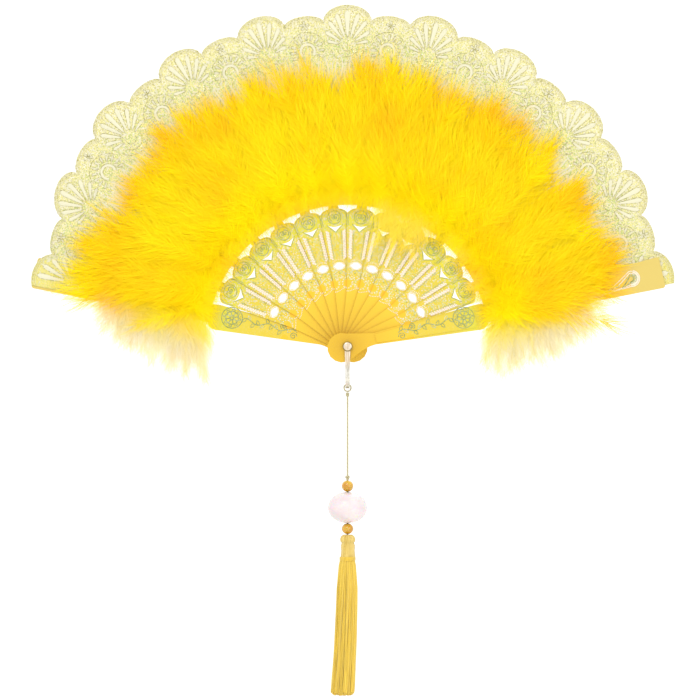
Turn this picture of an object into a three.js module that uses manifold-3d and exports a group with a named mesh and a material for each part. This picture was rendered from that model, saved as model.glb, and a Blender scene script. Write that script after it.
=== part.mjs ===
// A folding feather fan with a hanging tassel.
// Twelve pierced ribs and two guards turn on one rivet. They carry a pleated, scalloped leaf
// with a trim of down feathers in front. A metal bail on the rivet holds a cord with beads and a tassel.
// Millimetres, +Z up. The origin is on the rivet's axis, midway through the stack of sticks.
// The fan stands open in the XZ plane and its front looks along -Y.
import * as THREE from "three";
import { mergeVertices } from "three/addons/utils/BufferGeometryUtils.js";
import Module from "manifold-3d";

const wasm = await Module();
wasm.setup();

// Whole fan
const RIB_COUNT = 12; // ribs between the two guards
const SPREAD = THREE.MathUtils.degToRad(153.3); // between the guards' centre lines
const STICK_GAP = 0.3; // running clearance between neighbouring sticks
const SEAT_GAP = 0.3; // between a piece and what carries it
const OVERRUN = 1; // how far a cutter runs past the face it cuts

// Ribs
const RIB_THICKNESS = 0.9;
const RIB_HEAD_RADIUS = 7.4;
const RIB_NECK_HALF_WIDTH = 4.2;
const RIB_LAP = 0.35; // how far each pierced plate runs past the middle of its gap
const RIB_PLATE_START = 38; // where the plate starts to widen with the gap
const RIB_PLATE_END = 85.5; // where its sides turn into the round shoulder
const RIB_SHOULDER_HEIGHT = 4.8;
const RIB_BLADE_ROOT_SHARE = 0.5; // of the shoulder's height, where the blade joins it
const RIB_BLADE_THICKNESS = 0.5;
const RIB_BLADE_ROOT_HALF_WIDTH = 3.4;
const RIB_BLADE_TIP_HALF_WIDTH = 2.2;
const RIB_LENGTH = 199;

// Openings in each rib's plate
const EYE_RADIUS_AT = 52.6; // distance from the rivet
const EYE_HALF_WIDTH = 3.5;
const EYE_HALF_HEIGHT = 2.1;
const SLOT_START = 57.5;
const SLOT_END = 75.6;
const SLOT_WIDTH = 1.2;
const SLOT_PLACE_SHARE = 0.68; // of the plate's half width, where the middle of a slot lies
const CREST_BASE = 75; // low point of the crest-shaped opening
const CREST_TOP = 79.2;
const CREST_HALF_WIDTH = 4.8;
const CREST_WAIST_SHARE = 1 / 3; // of that half width, how far its sides swell halfway up

// Guards
const GUARD_THICKNESS = 1.8;
const GUARD_GRIP_RAISE = 0.5; // the grip stands this much proud of the guard's face
const GUARD_LENGTH = 209.5;
const GUARD_HEAD_RADIUS = 9.6;
const GUARD_HEAD_SETBACK = 3.6; // the round head's centre lies this far behind the rivet
const GUARD_HEAD_OPENING = THREE.MathUtils.degToRad(60); // half of the turn where the neck joins the head
const GUARD_NECK_AT = 18;
const GUARD_NECK_CURVE_SHARE = 0.6; // of that distance, where the neck's curve bends most
const GUARD_NECK_OUTER = 3;
const GUARD_NECK_INNER = 4.6;
const GUARD_GRIP_END = 86;
const GUARD_GRIP_OUTER = 9.4;
const GUARD_GRIP_INNER = 7.2;
const GUARD_BLADE_START = 92;
const GUARD_BLADE_OUTER = 5.8;
const GUARD_BLADE_INNER = 6;
const GUARD_TIP_OUTER = 10.4;
const GUARD_TIP_INNER = 10;
const GUARD_TIP_ROUND = 2;
const GUARD_GRIP_MARGIN = 1; // flat rim left round the raised grip

// Rivet and bail
const RIVET_RADIUS = 1.6;
const RIVET_CLEARANCE = 0.3;
const RIVET_HEAD_RADIUS = 2.9;
const RIVET_HEAD_HEIGHT = 0.9;
const RIVET_CROWN_SHARE = 0.7; // of the head's radius, the flat on its crown
const RIVET_RIM_SHARE = 0.5; // of the head's height, its straight rim
const BAIL_THICKNESS = 0.9;
const BAIL_EYE_RADIUS = 3.2;
const BAIL_TOP_WIDTH = 3.6;
const BAIL_WIDTH = 2.8;
const BAIL_LEG = 17; // from the rivet's axis to where the legs turn into the round bottom

// Leaf: a pleated cloth with alternating wide and narrow scallops
const LEAF_THICKNESS = 0.3;
const LEAF_GLUE_GAP = 0.1; // between the leaf and the stick that it is glued to
const LEAF_INNER_RADIUS = 92;
const LEAF_WIDE_RADIUS = 222; // to the top of a wide scallop
const LEAF_NARROW_RADIUS = 216.5;
const LEAF_VALLEY_RADIUS = 211.5; // between two scallops
const LEAF_PLEAT_DEPTH = 2.4; // at the widest radius
const LEAF_END_LAP = THREE.MathUtils.degToRad(2.4); // past each guard's centre line
const LEAF_FLAT_SHARE = 0.375; // of the last gap at each end, where the leaf lies flat along its guard
const LEAF_DROOP_START = THREE.MathUtils.degToRad(50); // from the fan's middle, where its edge starts to draw in
const LEAF_DROOP_FULL = THREE.MathUtils.degToRad(72);
const LEAF_REAR_DROOP = 11; // how far the edge is drawn in over the rear guard
const LEAF_FRONT_DROOP = 5; // and over the front guard
const SCALLOP_REPEAT = THREE.MathUtils.degToRad(15.4);
const WIDE_SCALLOP_HALF = THREE.MathUtils.degToRad(4.25);

// Feather trim, one puff on each stick
const PUFF_START = 94;
const PUFF_END = 190;
const PUFF_THICKNESS = 12.5;
const PUFF_EDGE = 1.2; // thickness left at a puff's rim
const PUFF_GAP = 0.6; // between neighbouring puffs
const PUFF_PINCH = 3; // how much narrower each side of a puff gets at its ends
const END_PUFF_DROP = 35; // how far the down hangs past a guard's outer edge

// Cord, beads and tassel
const CORD_DIAMETER = 1;
const LOOP_CLEARANCE = 0.3;
const HITCH_LENGTH = 2.6;
const HITCH_RADIUS = 1.25;
const UPPER_KNOT_RADIUS = 1.5;
const BEAD_BORE_CLEARANCE = 0.3;
const SMALL_BEAD_RADIUS = 3.75;
const LOWER_BEAD_RADIUS = 3.8;
const LOWER_BEAD_HEIGHT = 6.9;
const LARGE_BEAD_RADIUS = 12.8;
const LARGE_BEAD_HEIGHT = 20;
const LARGE_BEAD_FLAT = 2.6; // radius of the flat round each end of the bore
const TASSEL_TOP = -122.2; // height of the tassel cap's crown
const CAP_RADIUS = 5.1;
const CAP_WALL = 0.9;
const CAP_HEIGHT = 14;
const CAP_CROWN = 3.4; // height of the rounded crown
const CAP_EDGE_SHARE = 0.86; // of the cap's radius, where its crown is widest
const CAP_EDGE_DROP_SHARE = 0.4; // of the crown's height, how far down that is
const CAP_TOP_SHARE = 0.5; // of the cap's radius, the flat on its top
const END_KNOT_RADIUS = 1.9;
const BINDING_HEIGHT = 3;
const BINDING_THICKNESS = 0.7;
const SKIRT_END = -227;
const SKIRT_RADIUS = 8.1;
const SKIRT_FLUTES = 12;
const SKIRT_FLUTE_DEPTH = 0.45;

// How finely curves are drawn
const ARC_STEPS = 5;
const ROUND_STEPS = 20;
const LEAF_STEPS = 8; // from a stick to the top of a pleat
const BEAD_STEPS = 8; // from one flat of a bead to the other
const CORD_ARC_STEPS = 4;
const CORD_SIDES = 8;
const CORD_STEP_DIAMETERS = 3; // diameters of cord to each step along it
const MERGE_DISTANCE = 1e-4; // below which two corners are one

// Sizes that follow from those above
const STICK_COUNT = RIB_COUNT + 2;
const STEP = SPREAD / (RIB_COUNT + 1);
const PITCH = RIB_THICKNESS + STICK_GAP;
const STACK_HALF = ((RIB_COUNT - 1) * PITCH + RIB_THICKNESS) / 2;
const GUARD_INNER_FACE = STACK_HALF + STICK_GAP;
const GUARD_OUTER_FACE = GUARD_INNER_FACE + GUARD_THICKNESS;
const BLADE_FRONT = RIB_THICKNESS / 2 - RIB_BLADE_THICKNESS; // from a rib's middle to its blade's front
const HOLE_RADIUS = RIVET_RADIUS + RIVET_CLEARANCE;
const BAIL_INNER_FACE = GUARD_OUTER_FACE + SEAT_GAP;
const BAIL_CENTRE = BAIL_INNER_FACE + BAIL_THICKNESS / 2;
const BAIL_BOTTOM = -BAIL_LEG - BAIL_CENTRE;
const LAST = STICK_COUNT - 1;

const angleOf = (stick) => Math.PI / 2 + SPREAD / 2 - stick * STEP;

// Middle of a rib's thickness, counted from the rear guard at stick 0.
const levelOf = (stick) => (LAST / 2 - stick) * PITCH;

// Materials
const plastic = new THREE.MeshStandardMaterial({ color: 0xf3c430, roughness: 0.4 });
const cloth = new THREE.MeshStandardMaterial({ color: 0xf5ea9c, roughness: 0.85 });
const down = new THREE.MeshStandardMaterial({ color: 0xffd814, roughness: 0.95 });
const steel = new THREE.MeshStandardMaterial({ color: 0xd8d8d4, roughness: 0.25, metalness: 1 });
const thread = new THREE.MeshStandardMaterial({ color: 0xe8c548, roughness: 0.6 });
const amber = new THREE.MeshStandardMaterial({ color: 0xe8a32c, roughness: 0.25 });
const milky = new THREE.MeshStandardMaterial({ color: 0xf4eff0, roughness: 0.35 });

// Solids

function solidOf(geometry) {
  const bare = geometry.index ? geometry.toNonIndexed() : geometry.clone();
  bare.deleteAttribute("normal");
  bare.deleteAttribute("uv");
  const merged = mergeVertices(bare, MERGE_DISTANCE);
  return new wasm.Manifold(
    new wasm.Mesh({
      numProp: 3,
      vertProperties: new Float32Array(merged.attributes.position.array),
      triVerts: new Uint32Array(merged.index.array),
    }),
  );
}

function geometryOf(solid) {
  const { numProp, numVert, vertProperties, triVerts } = solid.getMesh();
  const position = new Float32Array(numVert * 3);
  for (let i = 0; i < numVert; i++) {
    position.set(vertProperties.subarray(i * numProp, i * numProp + 3), i * 3);
  }
  return new THREE.BufferGeometry()
    .setAttribute("position", new THREE.BufferAttribute(position, 3))
    .setIndex(new THREE.BufferAttribute(triVerts, 1));
}

function named(name, geometry, material) {
  const mesh = new THREE.Mesh(geometry, material);
  mesh.name = name;
  return mesh;
}

// A flat plate with its outline in x and z. It reaches back along +y from its front face.
function plate(outline, thickness, front) {
  const options = { depth: thickness, bevelEnabled: false, curveSegments: ARC_STEPS };
  return new THREE.ExtrudeGeometry(outline, options)
    .rotateX(Math.PI / 2)
    .translate(0, front + thickness, 0);
}

// A round solid about the z axis, from pairs of radius and height that run upwards.
function turned(profile, steps = ROUND_STEPS) {
  const points = profile.map(([radius, height]) => new THREE.Vector2(radius, height));
  return new THREE.LatheGeometry(points, steps).rotateX(Math.PI / 2);
}

// A pin along y, long enough to cut through everything between two faces.
function pin(radius, from, to) {
  const middle = (from + to) / 2;
  return new THREE.CylinderGeometry(radius, radius, to - from, ROUND_STEPS).translate(0, middle, 0);
}

// A closed skin over rings of equal count, with flat ends.
function loft(rings) {
  const count = rings[0].length;
  const position = [];
  const face = (...corners) => corners.forEach((corner) => position.push(corner.x, corner.y, corner.z));
  for (let i = 0; i + 1 < rings.length; i++) {
    for (let j = 0; j < count; j++) {
      const next = (j + 1) % count;
      face(rings[i][j], rings[i][next], rings[i + 1][next]);
      face(rings[i][j], rings[i + 1][next], rings[i + 1][j]);
    }
  }
  const [first, last] = [rings[0], rings[rings.length - 1]];
  for (let j = 1; j + 1 < count; j++) {
    face(first[0], first[j + 1], first[j]);
    face(last[0], last[j], last[j + 1]);
  }
  return new THREE.BufferGeometry().setAttribute("position", new THREE.Float32BufferAttribute(position, 3));
}

function cut(geometry, ...cutters) {
  const solid = cutters.reduce((rest, cutter) => rest.subtract(solidOf(cutter)), solidOf(geometry));
  return geometryOf(solid);
}

function join(...geometries) {
  return geometryOf(geometries.map(solidOf).reduce((all, one) => all.add(one)));
}

// Ribs

const plateHalfWidth = (u) => u * Math.tan(STEP / 2) + RIB_LAP;

// A pointed oval across the rib.
function eyeOpening() {
  const eye = new THREE.Path();
  eye.moveTo(EYE_RADIUS_AT, -EYE_HALF_WIDTH);
  eye.quadraticCurveTo(EYE_RADIUS_AT + 2 * EYE_HALF_HEIGHT, 0, EYE_RADIUS_AT, EYE_HALF_WIDTH);
  eye.quadraticCurveTo(EYE_RADIUS_AT - 2 * EYE_HALF_HEIGHT, 0, EYE_RADIUS_AT, -EYE_HALF_WIDTH);
  return eye;
}

// A long slot that runs beside the plate's side, with round ends.
function slotOpening(side) {
  const middle = (u) => side * plateHalfWidth(u) * SLOT_PLACE_SHARE;
  const lean = Math.atan2(middle(SLOT_END) - middle(SLOT_START), SLOT_END - SLOT_START);
  const radius = SLOT_WIDTH / 2;
  const [far, near] = [SLOT_END - radius, SLOT_START + radius];
  const slot = new THREE.Path();
  slot.absarc(far, middle(far), radius, lean - Math.PI / 2, lean + Math.PI / 2);
  slot.absarc(near, middle(near), radius, lean + Math.PI / 2, lean + 1.5 * Math.PI);
  slot.closePath();
  return slot;
}

// A curved triangle that points at the rivet.
function crestOpening() {
  const crest = new THREE.Path();
  const brow = (CREST_TOP + CREST_BASE) / 2;
  const waist = CREST_HALF_WIDTH * CREST_WAIST_SHARE;
  crest.moveTo(CREST_BASE, 0);
  crest.quadraticCurveTo(brow, waist, CREST_TOP, CREST_HALF_WIDTH);
  crest.quadraticCurveTo(brow, 0, CREST_TOP, -CREST_HALF_WIDTH);
  crest.quadraticCurveTo(brow, -waist, CREST_BASE, 0);
  return crest;
}

function ribPlateOutline() {
  const neckAngle = Math.asin(RIB_NECK_HALF_WIDTH / RIB_HEAD_RADIUS);
  const shoulder = plateHalfWidth(RIB_PLATE_END);
  const outline = new THREE.Shape();
  outline.absarc(0, 0, RIB_HEAD_RADIUS, neckAngle, 2 * Math.PI - neckAngle);
  outline.lineTo(RIB_PLATE_START, -Math.max(RIB_NECK_HALF_WIDTH, plateHalfWidth(RIB_PLATE_START)));
  outline.lineTo(RIB_PLATE_END, -shoulder);
  outline.absellipse(RIB_PLATE_END, 0, RIB_SHOULDER_HEIGHT, shoulder, -Math.PI / 2, Math.PI / 2);
  outline.lineTo(RIB_PLATE_START, Math.max(RIB_NECK_HALF_WIDTH, plateHalfWidth(RIB_PLATE_START)));
  outline.closePath();
  outline.holes = [eyeOpening(), slotOpening(1), slotOpening(-1), crestOpening()];
  return outline;
}

function ribBladeOutline() {
  const root = RIB_PLATE_END + RIB_SHOULDER_HEIGHT * RIB_BLADE_ROOT_SHARE;
  const tip = RIB_LENGTH - RIB_BLADE_TIP_HALF_WIDTH;
  const outline = new THREE.Shape();
  outline.moveTo(root, -RIB_BLADE_ROOT_HALF_WIDTH);
  outline.lineTo(tip, -RIB_BLADE_TIP_HALF_WIDTH);
  outline.absarc(tip, 0, RIB_BLADE_TIP_HALF_WIDTH, -Math.PI / 2, Math.PI / 2);
  outline.lineTo(root, RIB_BLADE_ROOT_HALF_WIDTH);
  outline.closePath();
  return outline;
}

// The pierced plate is full thickness. The blade that carries the leaf is thinner and lies at the back.
function ribGeometry() {
  const half = RIB_THICKNESS / 2;
  const pierced = plate(ribPlateOutline(), RIB_THICKNESS, -half);
  const blade = plate(ribBladeOutline(), RIB_BLADE_THICKNESS, half - RIB_BLADE_THICKNESS);
  return cut(join(pierced, blade), pin(HOLE_RADIUS, -half - OVERRUN, half + OVERRUN));
}

// Guards

// The guard lies along x. Its inner side, towards the leaf, is at positive z times side.
function guardOutline(side) {
  const outline = new THREE.Shape();
  const head = new THREE.Vector2(-GUARD_HEAD_SETBACK, 0);
  const neckTurn = GUARD_HEAD_OPENING;
  const steps = 2 * ARC_STEPS;
  const at = (u, v) => [u, side * v];
  const around = (angle) =>
    at(head.x + GUARD_HEAD_RADIUS * Math.cos(angle), GUARD_HEAD_RADIUS * Math.sin(angle));
  outline.moveTo(...around(neckTurn));
  for (let i = 1; i <= steps; i++) {
    outline.lineTo(...around(neckTurn + ((2 * Math.PI - 2 * neckTurn) * i) / steps));
  }
  outline.quadraticCurveTo(
    ...at(GUARD_NECK_AT * GUARD_NECK_CURVE_SHARE, -GUARD_NECK_OUTER),
    ...at(GUARD_NECK_AT, -GUARD_NECK_OUTER),
  );
  outline.lineTo(...at(GUARD_GRIP_END, -GUARD_GRIP_OUTER));
  outline.quadraticCurveTo(
    ...at(GUARD_BLADE_START, -GUARD_GRIP_OUTER),
    ...at(GUARD_BLADE_START, -GUARD_BLADE_OUTER),
  );
  outline.lineTo(...at(GUARD_LENGTH - GUARD_TIP_ROUND, -GUARD_TIP_OUTER));
  outline.quadraticCurveTo(
    ...at(GUARD_LENGTH, -GUARD_TIP_OUTER),
    ...at(GUARD_LENGTH, GUARD_TIP_ROUND - GUARD_TIP_OUTER),
  );
  outline.lineTo(...at(GUARD_LENGTH, GUARD_TIP_INNER - GUARD_TIP_ROUND));
  outline.quadraticCurveTo(
    ...at(GUARD_LENGTH, GUARD_TIP_INNER),
    ...at(GUARD_LENGTH - GUARD_TIP_ROUND, GUARD_TIP_INNER),
  );
  outline.lineTo(...at(GUARD_BLADE_START, GUARD_BLADE_INNER));
  outline.quadraticCurveTo(
    ...at(GUARD_BLADE_START, GUARD_GRIP_INNER),
    ...at(GUARD_GRIP_END, GUARD_GRIP_INNER),
  );
  outline.lineTo(...at(GUARD_NECK_AT, GUARD_NECK_INNER));
  outline.closePath();
  return outline;
}

// The raised grip keeps a margin to the guard's outline.
function gripOutline(side) {
  const start = GUARD_NECK_AT + GUARD_GRIP_MARGIN;
  const end = GUARD_GRIP_END - GUARD_GRIP_MARGIN;
  const outline = new THREE.Shape();
  outline.moveTo(start, -side * (GUARD_NECK_OUTER - GUARD_GRIP_MARGIN));
  outline.lineTo(end, -side * (GUARD_GRIP_OUTER - 2 * GUARD_GRIP_MARGIN));
  outline.lineTo(end, side * (GUARD_GRIP_INNER - GUARD_GRIP_MARGIN));
  outline.lineTo(start, side * (GUARD_NECK_INNER - GUARD_GRIP_MARGIN));
  outline.closePath();
  return outline;
}

// facing is -1 for the front guard, whose outer face looks along -y, and 1 for the rear guard.
function guardGeometry(facing) {
  const side = -facing;
  const front = facing < 0 ? -GUARD_OUTER_FACE : GUARD_INNER_FACE;
  const sunk = GUARD_THICKNESS / 2;
  const gripThickness = GUARD_GRIP_RAISE + sunk;
  const gripFront = facing < 0 ? -GUARD_OUTER_FACE - GUARD_GRIP_RAISE : GUARD_OUTER_FACE - sunk;
  const body = plate(guardOutline(side), GUARD_THICKNESS, front);
  const grip = plate(gripOutline(side), gripThickness, gripFront);
  const reach = GUARD_OUTER_FACE + OVERRUN;
  return cut(join(body, grip), pin(HOLE_RADIUS, -reach, reach));
}

// Leaf

// Middle of the leaf's thickness where it is glued to a stick.
function leafLevelAt(stick) {
  const toMiddle = LEAF_GLUE_GAP + LEAF_THICKNESS / 2;
  if (stick === 0) return GUARD_INNER_FACE - toMiddle;
  if (stick === LAST) return -GUARD_INNER_FACE + toMiddle;
  return levelOf(stick) + BLADE_FRONT - toMiddle;
}

// The stretch of a gap that its pleat takes, as shares of the gap. Each gap is named by its left stick.
const pleatStart = (gap) => (gap === 0 ? LEAF_FLAT_SHARE : 0);
const pleatEnd = (gap) => (gap === LAST - 1 ? 1 - LEAF_FLAT_SHARE : 1);

// Middle of the leaf at any place, where along counts sticks from the rear guard.
// Each gap holds one pleat, which rises towards the front.
function leafLevel(along, radius) {
  const gap = THREE.MathUtils.clamp(Math.floor(along), 0, LAST - 1);
  const start = pleatStart(gap);
  const share = THREE.MathUtils.clamp((along - gap - start) / (pleatEnd(gap) - start), 0, 1);
  const ridge = LEAF_PLEAT_DEPTH * (radius / LEAF_WIDE_RADIUS) * (1 - Math.abs(2 * share - 1));
  return THREE.MathUtils.lerp(leafLevelAt(gap), leafLevelAt(gap + 1), share) - ridge;
}

// Radius of the scalloped edge. The angle is measured from the middle of the fan.
function leafEdge(angle) {
  const repeat = Math.round(angle / SCALLOP_REPEAT) * SCALLOP_REPEAT;
  const off = Math.abs(angle - repeat);
  const wide = off < WIDE_SCALLOP_HALF;
  const narrowHalf = SCALLOP_REPEAT / 2 - WIDE_SCALLOP_HALF;
  const share = wide ? off / WIDE_SCALLOP_HALF : (SCALLOP_REPEAT / 2 - off) / narrowHalf;
  const top = wide ? LEAF_WIDE_RADIUS : LEAF_NARROW_RADIUS;
  const scallop = LEAF_VALLEY_RADIUS + (top - LEAF_VALLEY_RADIUS) * Math.sqrt(Math.max(0, 1 - share * share));
  const droop = angle < 0 ? LEAF_REAR_DROOP : LEAF_FRONT_DROOP;
  return scallop - droop * THREE.MathUtils.smoothstep(Math.abs(angle), LEAF_DROOP_START, LEAF_DROOP_FULL);
}

// The leaf on one stick, from the top of the pleat before it to the top of the pleat after it.
function leafSectionGeometry(stick) {
  const ridge = (gap) => gap + (pleatStart(gap) + pleatEnd(gap)) / 2;
  const start = stick === 0 ? -LEAF_END_LAP / STEP : ridge(stick - 1);
  const end = stick === LAST ? LAST + LEAF_END_LAP / STEP : ridge(stick);
  const before = Array.from({ length: LEAF_STEPS }, (_, i) => start + ((stick - start) * i) / LEAF_STEPS);
  const after = Array.from({ length: LEAF_STEPS + 1 }, (_, i) => stick + ((end - stick) * i) / LEAF_STEPS);
  const half = LEAF_THICKNESS / 2;
  const rings = [...before, ...after].map((along) => {
    const turn = (stick - along) * STEP;
    const outer = leafEdge(along * STEP - SPREAD / 2);
    const corner = (radius, lift) =>
      new THREE.Vector3(
        radius * Math.cos(turn),
        leafLevel(along, radius) - levelOf(stick) + lift,
        radius * Math.sin(turn),
      );
    return [
      corner(LEAF_INNER_RADIUS, -half),
      corner(LEAF_INNER_RADIUS, half),
      corner(outer, half),
      corner(outer, -half),
    ];
  });
  return loft(rings);
}

// Feather trim

// Along a puff: share of its length, then shares of its full thickness and of an end puff's drop.
const PUFF_LENGTH_SHARES = [
  [0, 0.3, 0.8],
  [0.07, 0.7, 0.95],
  [0.2, 0.95, 1],
  [0.45, 1, 0.9],
  [0.7, 0.9, 0.75],
  [0.9, 0.65, 0.5],
  [1, 0.3, 0.25],
];

// Across a puff's domed front: share of its width, then share of its rise there.
const PUFF_FRONT_SHARES = [
  [1, 0],
  [0.86, 0.62],
  [0.5, 1],
  [0.14, 0.62],
  [0, 0],
];

// The flat rear of a puff at distance u from the rivet. It seats on the leaf, or on the front guard.
function puffRear(stick, u, low, high) {
  if (stick === LAST) return -GUARD_OUTER_FACE - SEAT_GAP;
  const steps = 2 * LEAF_STEPS;
  const levels = Array.from({ length: steps + 1 }, (_, i) => {
    const v = THREE.MathUtils.lerp(low, high, i / steps);
    return leafLevel(stick - Math.atan2(v, u) / STEP, Math.hypot(u, v));
  });
  return Math.min(...levels) - LEAF_THICKNESS / 2 - SEAT_GAP;
}

// A soft pad of down in front of one stick, drawn in that stick's frame.
function puffGeometry(stick) {
  const rings = PUFF_LENGTH_SHARES.map(([along, swell, hang]) => {
    const u = THREE.MathUtils.lerp(PUFF_START, PUFF_END, along);
    const side = u * Math.tan(STEP / 2) - PUFF_GAP / 2 - PUFF_PINCH * (1 - swell);
    const drop = GUARD_BLADE_OUTER + END_PUFF_DROP * hang;
    const low = stick === LAST ? -drop : -side;
    const high = stick === 0 ? drop : side;
    const rear = puffRear(stick, u, low, high) - levelOf(stick);
    const rise = (PUFF_THICKNESS - PUFF_EDGE) * swell;
    const front = PUFF_FRONT_SHARES.map(([across, height]) => {
      const v = THREE.MathUtils.lerp(low, high, across);
      return new THREE.Vector3(u, rear - PUFF_EDGE - rise * height, v);
    });
    return [new THREE.Vector3(u, rear, low), new THREE.Vector3(u, rear, high), ...front];
  });
  return loft(rings);
}

// Rivet and bail

function rivetGeometry() {
  const reach = BAIL_INNER_FACE + BAIL_THICKNESS + SEAT_GAP;
  const crown = reach + RIVET_HEAD_HEIGHT;
  const rim = reach + RIVET_HEAD_HEIGHT * RIVET_RIM_SHARE;
  const profile = [
    [0, -crown],
    [RIVET_HEAD_RADIUS * RIVET_CROWN_SHARE, -crown],
    [RIVET_HEAD_RADIUS, -rim],
    [RIVET_HEAD_RADIUS, -reach],
    [RIVET_RADIUS, -reach],
    [RIVET_RADIUS, reach],
    [RIVET_HEAD_RADIUS, reach],
    [RIVET_HEAD_RADIUS, rim],
    [RIVET_HEAD_RADIUS * RIVET_CROWN_SHARE, crown],
    [0, crown],
  ];
  return turned(profile).rotateX(Math.PI / 2);
}

// One flat leg of the bail, hanging from its eye.
function bailLegOutline() {
  const meet = Math.asin(BAIL_TOP_WIDTH / 2 / BAIL_EYE_RADIUS);
  const outline = new THREE.Shape();
  outline.absarc(0, 0, BAIL_EYE_RADIUS, meet - Math.PI / 2, 1.5 * Math.PI - meet);
  outline.lineTo(-BAIL_WIDTH / 2, -BAIL_LEG);
  outline.lineTo(BAIL_WIDTH / 2, -BAIL_LEG);
  outline.closePath();
  return outline;
}

// The round bottom, a half ring in y and z with the strap's width along x.
function bailBottomGeometry() {
  const outer = BAIL_CENTRE + BAIL_THICKNESS / 2;
  const inner = BAIL_CENTRE - BAIL_THICKNESS / 2;
  const outline = new THREE.Shape();
  outline.absarc(0, 0, outer, Math.PI, 2 * Math.PI);
  outline.absarc(0, 0, inner, 2 * Math.PI, Math.PI, true);
  outline.closePath();
  const options = { depth: BAIL_WIDTH, bevelEnabled: false, curveSegments: ROUND_STEPS };
  return new THREE.ExtrudeGeometry(outline, options)
    .rotateX(Math.PI / 2)
    .rotateZ(Math.PI / 2)
    .translate(-BAIL_WIDTH / 2, 0, -BAIL_LEG);
}

function bailGeometry() {
  const front = plate(bailLegOutline(), BAIL_THICKNESS, -BAIL_INNER_FACE - BAIL_THICKNESS);
  const rear = plate(bailLegOutline(), BAIL_THICKNESS, BAIL_INNER_FACE);
  const reach = BAIL_INNER_FACE + BAIL_THICKNESS + OVERRUN;
  return cut(join(front, bailBottomGeometry(), rear), pin(HOLE_RADIUS, -reach, reach));
}

// Cord, beads and tassel

const CORD_RADIUS = CORD_DIAMETER / 2;
const BORE_RADIUS = CORD_RADIUS + BEAD_BORE_CLEARANCE;
const LOOP_INNER = Math.hypot(BAIL_WIDTH, BAIL_THICKNESS) / 2 + LOOP_CLEARANCE;
const LOOP_BOTTOM = BAIL_BOTTOM - LOOP_INNER - CORD_DIAMETER;
const HITCH_TOP = LOOP_BOTTOM - SEAT_GAP;
const LOWER_BEAD_BOTTOM = TASSEL_TOP + SEAT_GAP;
const LARGE_BEAD_BOTTOM = LOWER_BEAD_BOTTOM + LOWER_BEAD_HEIGHT + SEAT_GAP;
const UPPER_BEAD_BOTTOM = LARGE_BEAD_BOTTOM + LARGE_BEAD_HEIGHT + SEAT_GAP;
const UPPER_BEAD_HEIGHT = 2 * Math.sqrt(SMALL_BEAD_RADIUS ** 2 - BORE_RADIUS ** 2);
const KNOT_BOTTOM = UPPER_BEAD_BOTTOM + UPPER_BEAD_HEIGHT + SEAT_GAP;
const END_KNOT_HEIGHT = 2 * Math.sqrt(END_KNOT_RADIUS ** 2 - BORE_RADIUS ** 2);
const END_KNOT_TOP = TASSEL_TOP - CAP_WALL - SEAT_GAP;
const CORD_END = END_KNOT_TOP - END_KNOT_HEIGHT;
const BUNDLE_TOP = CORD_END - SEAT_GAP;
const BUNDLE_RADIUS = CAP_RADIUS - CAP_WALL - SEAT_GAP;
const CAP_BOTTOM = TASSEL_TOP - CAP_HEIGHT;
const BINDING_TOP = CAP_BOTTOM - SEAT_GAP;
const SKIRT_TOP = BINDING_TOP - BINDING_HEIGHT - SEAT_GAP;

// The loop of cord round the bail's strap.
function cordLoopGeometry() {
  return new THREE.TorusGeometry(LOOP_INNER + CORD_RADIUS, CORD_RADIUS, CORD_SIDES, ROUND_STEPS)
    .rotateX(Math.PI / 2)
    .translate(0, 0, BAIL_BOTTOM);
}

// The straight stretch of cord, from the loop down into the tassel's cap.
function cordGeometry() {
  const section = new THREE.Shape();
  section.absarc(0, 0, CORD_RADIUS, 0, 2 * Math.PI);
  const line = new THREE.LineCurve3(new THREE.Vector3(0, 0, HITCH_TOP), new THREE.Vector3(0, 0, CORD_END));
  const steps = Math.round((HITCH_TOP - CORD_END) / (CORD_STEP_DIAMETERS * CORD_DIAMETER));
  return new THREE.ExtrudeGeometry(section, { extrudePath: line, steps, curveSegments: CORD_ARC_STEPS });
}

// A bead with a bore, its round flank drawn as half an ellipse between the two flats.
function beadGeometry(radius, height, flat, bottom) {
  const start = Math.acos(flat / radius);
  const half = height / 2;
  const flank = Array.from({ length: BEAD_STEPS + 1 }, (_, i) => {
    const angle = THREE.MathUtils.lerp(-start, start, i / BEAD_STEPS);
    return [radius * Math.cos(angle), bottom + half + (half * Math.sin(angle)) / Math.sin(start)];
  });
  const profile = [[BORE_RADIUS, bottom], ...flank, [BORE_RADIUS, bottom + height], [BORE_RADIUS, bottom]];
  const open = flat > BORE_RADIUS ? profile : [...flank, flank[0]];
  return turned(open);
}

function ballGeometry(radius, height, bottom) {
  return beadGeometry(radius, height, BORE_RADIUS, bottom);
}

function largeBeadGeometry() {
  return beadGeometry(LARGE_BEAD_RADIUS, LARGE_BEAD_HEIGHT, LARGE_BEAD_FLAT, LARGE_BEAD_BOTTOM);
}

// The hitch: a short whipping of cord under the loop.
function hitchGeometry() {
  const bottom = HITCH_TOP - HITCH_LENGTH;
  return turned([
    [BORE_RADIUS, bottom],
    [HITCH_RADIUS, bottom],
    [HITCH_RADIUS, HITCH_TOP],
    [BORE_RADIUS, HITCH_TOP],
    [BORE_RADIUS, bottom],
  ]);
}

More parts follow.
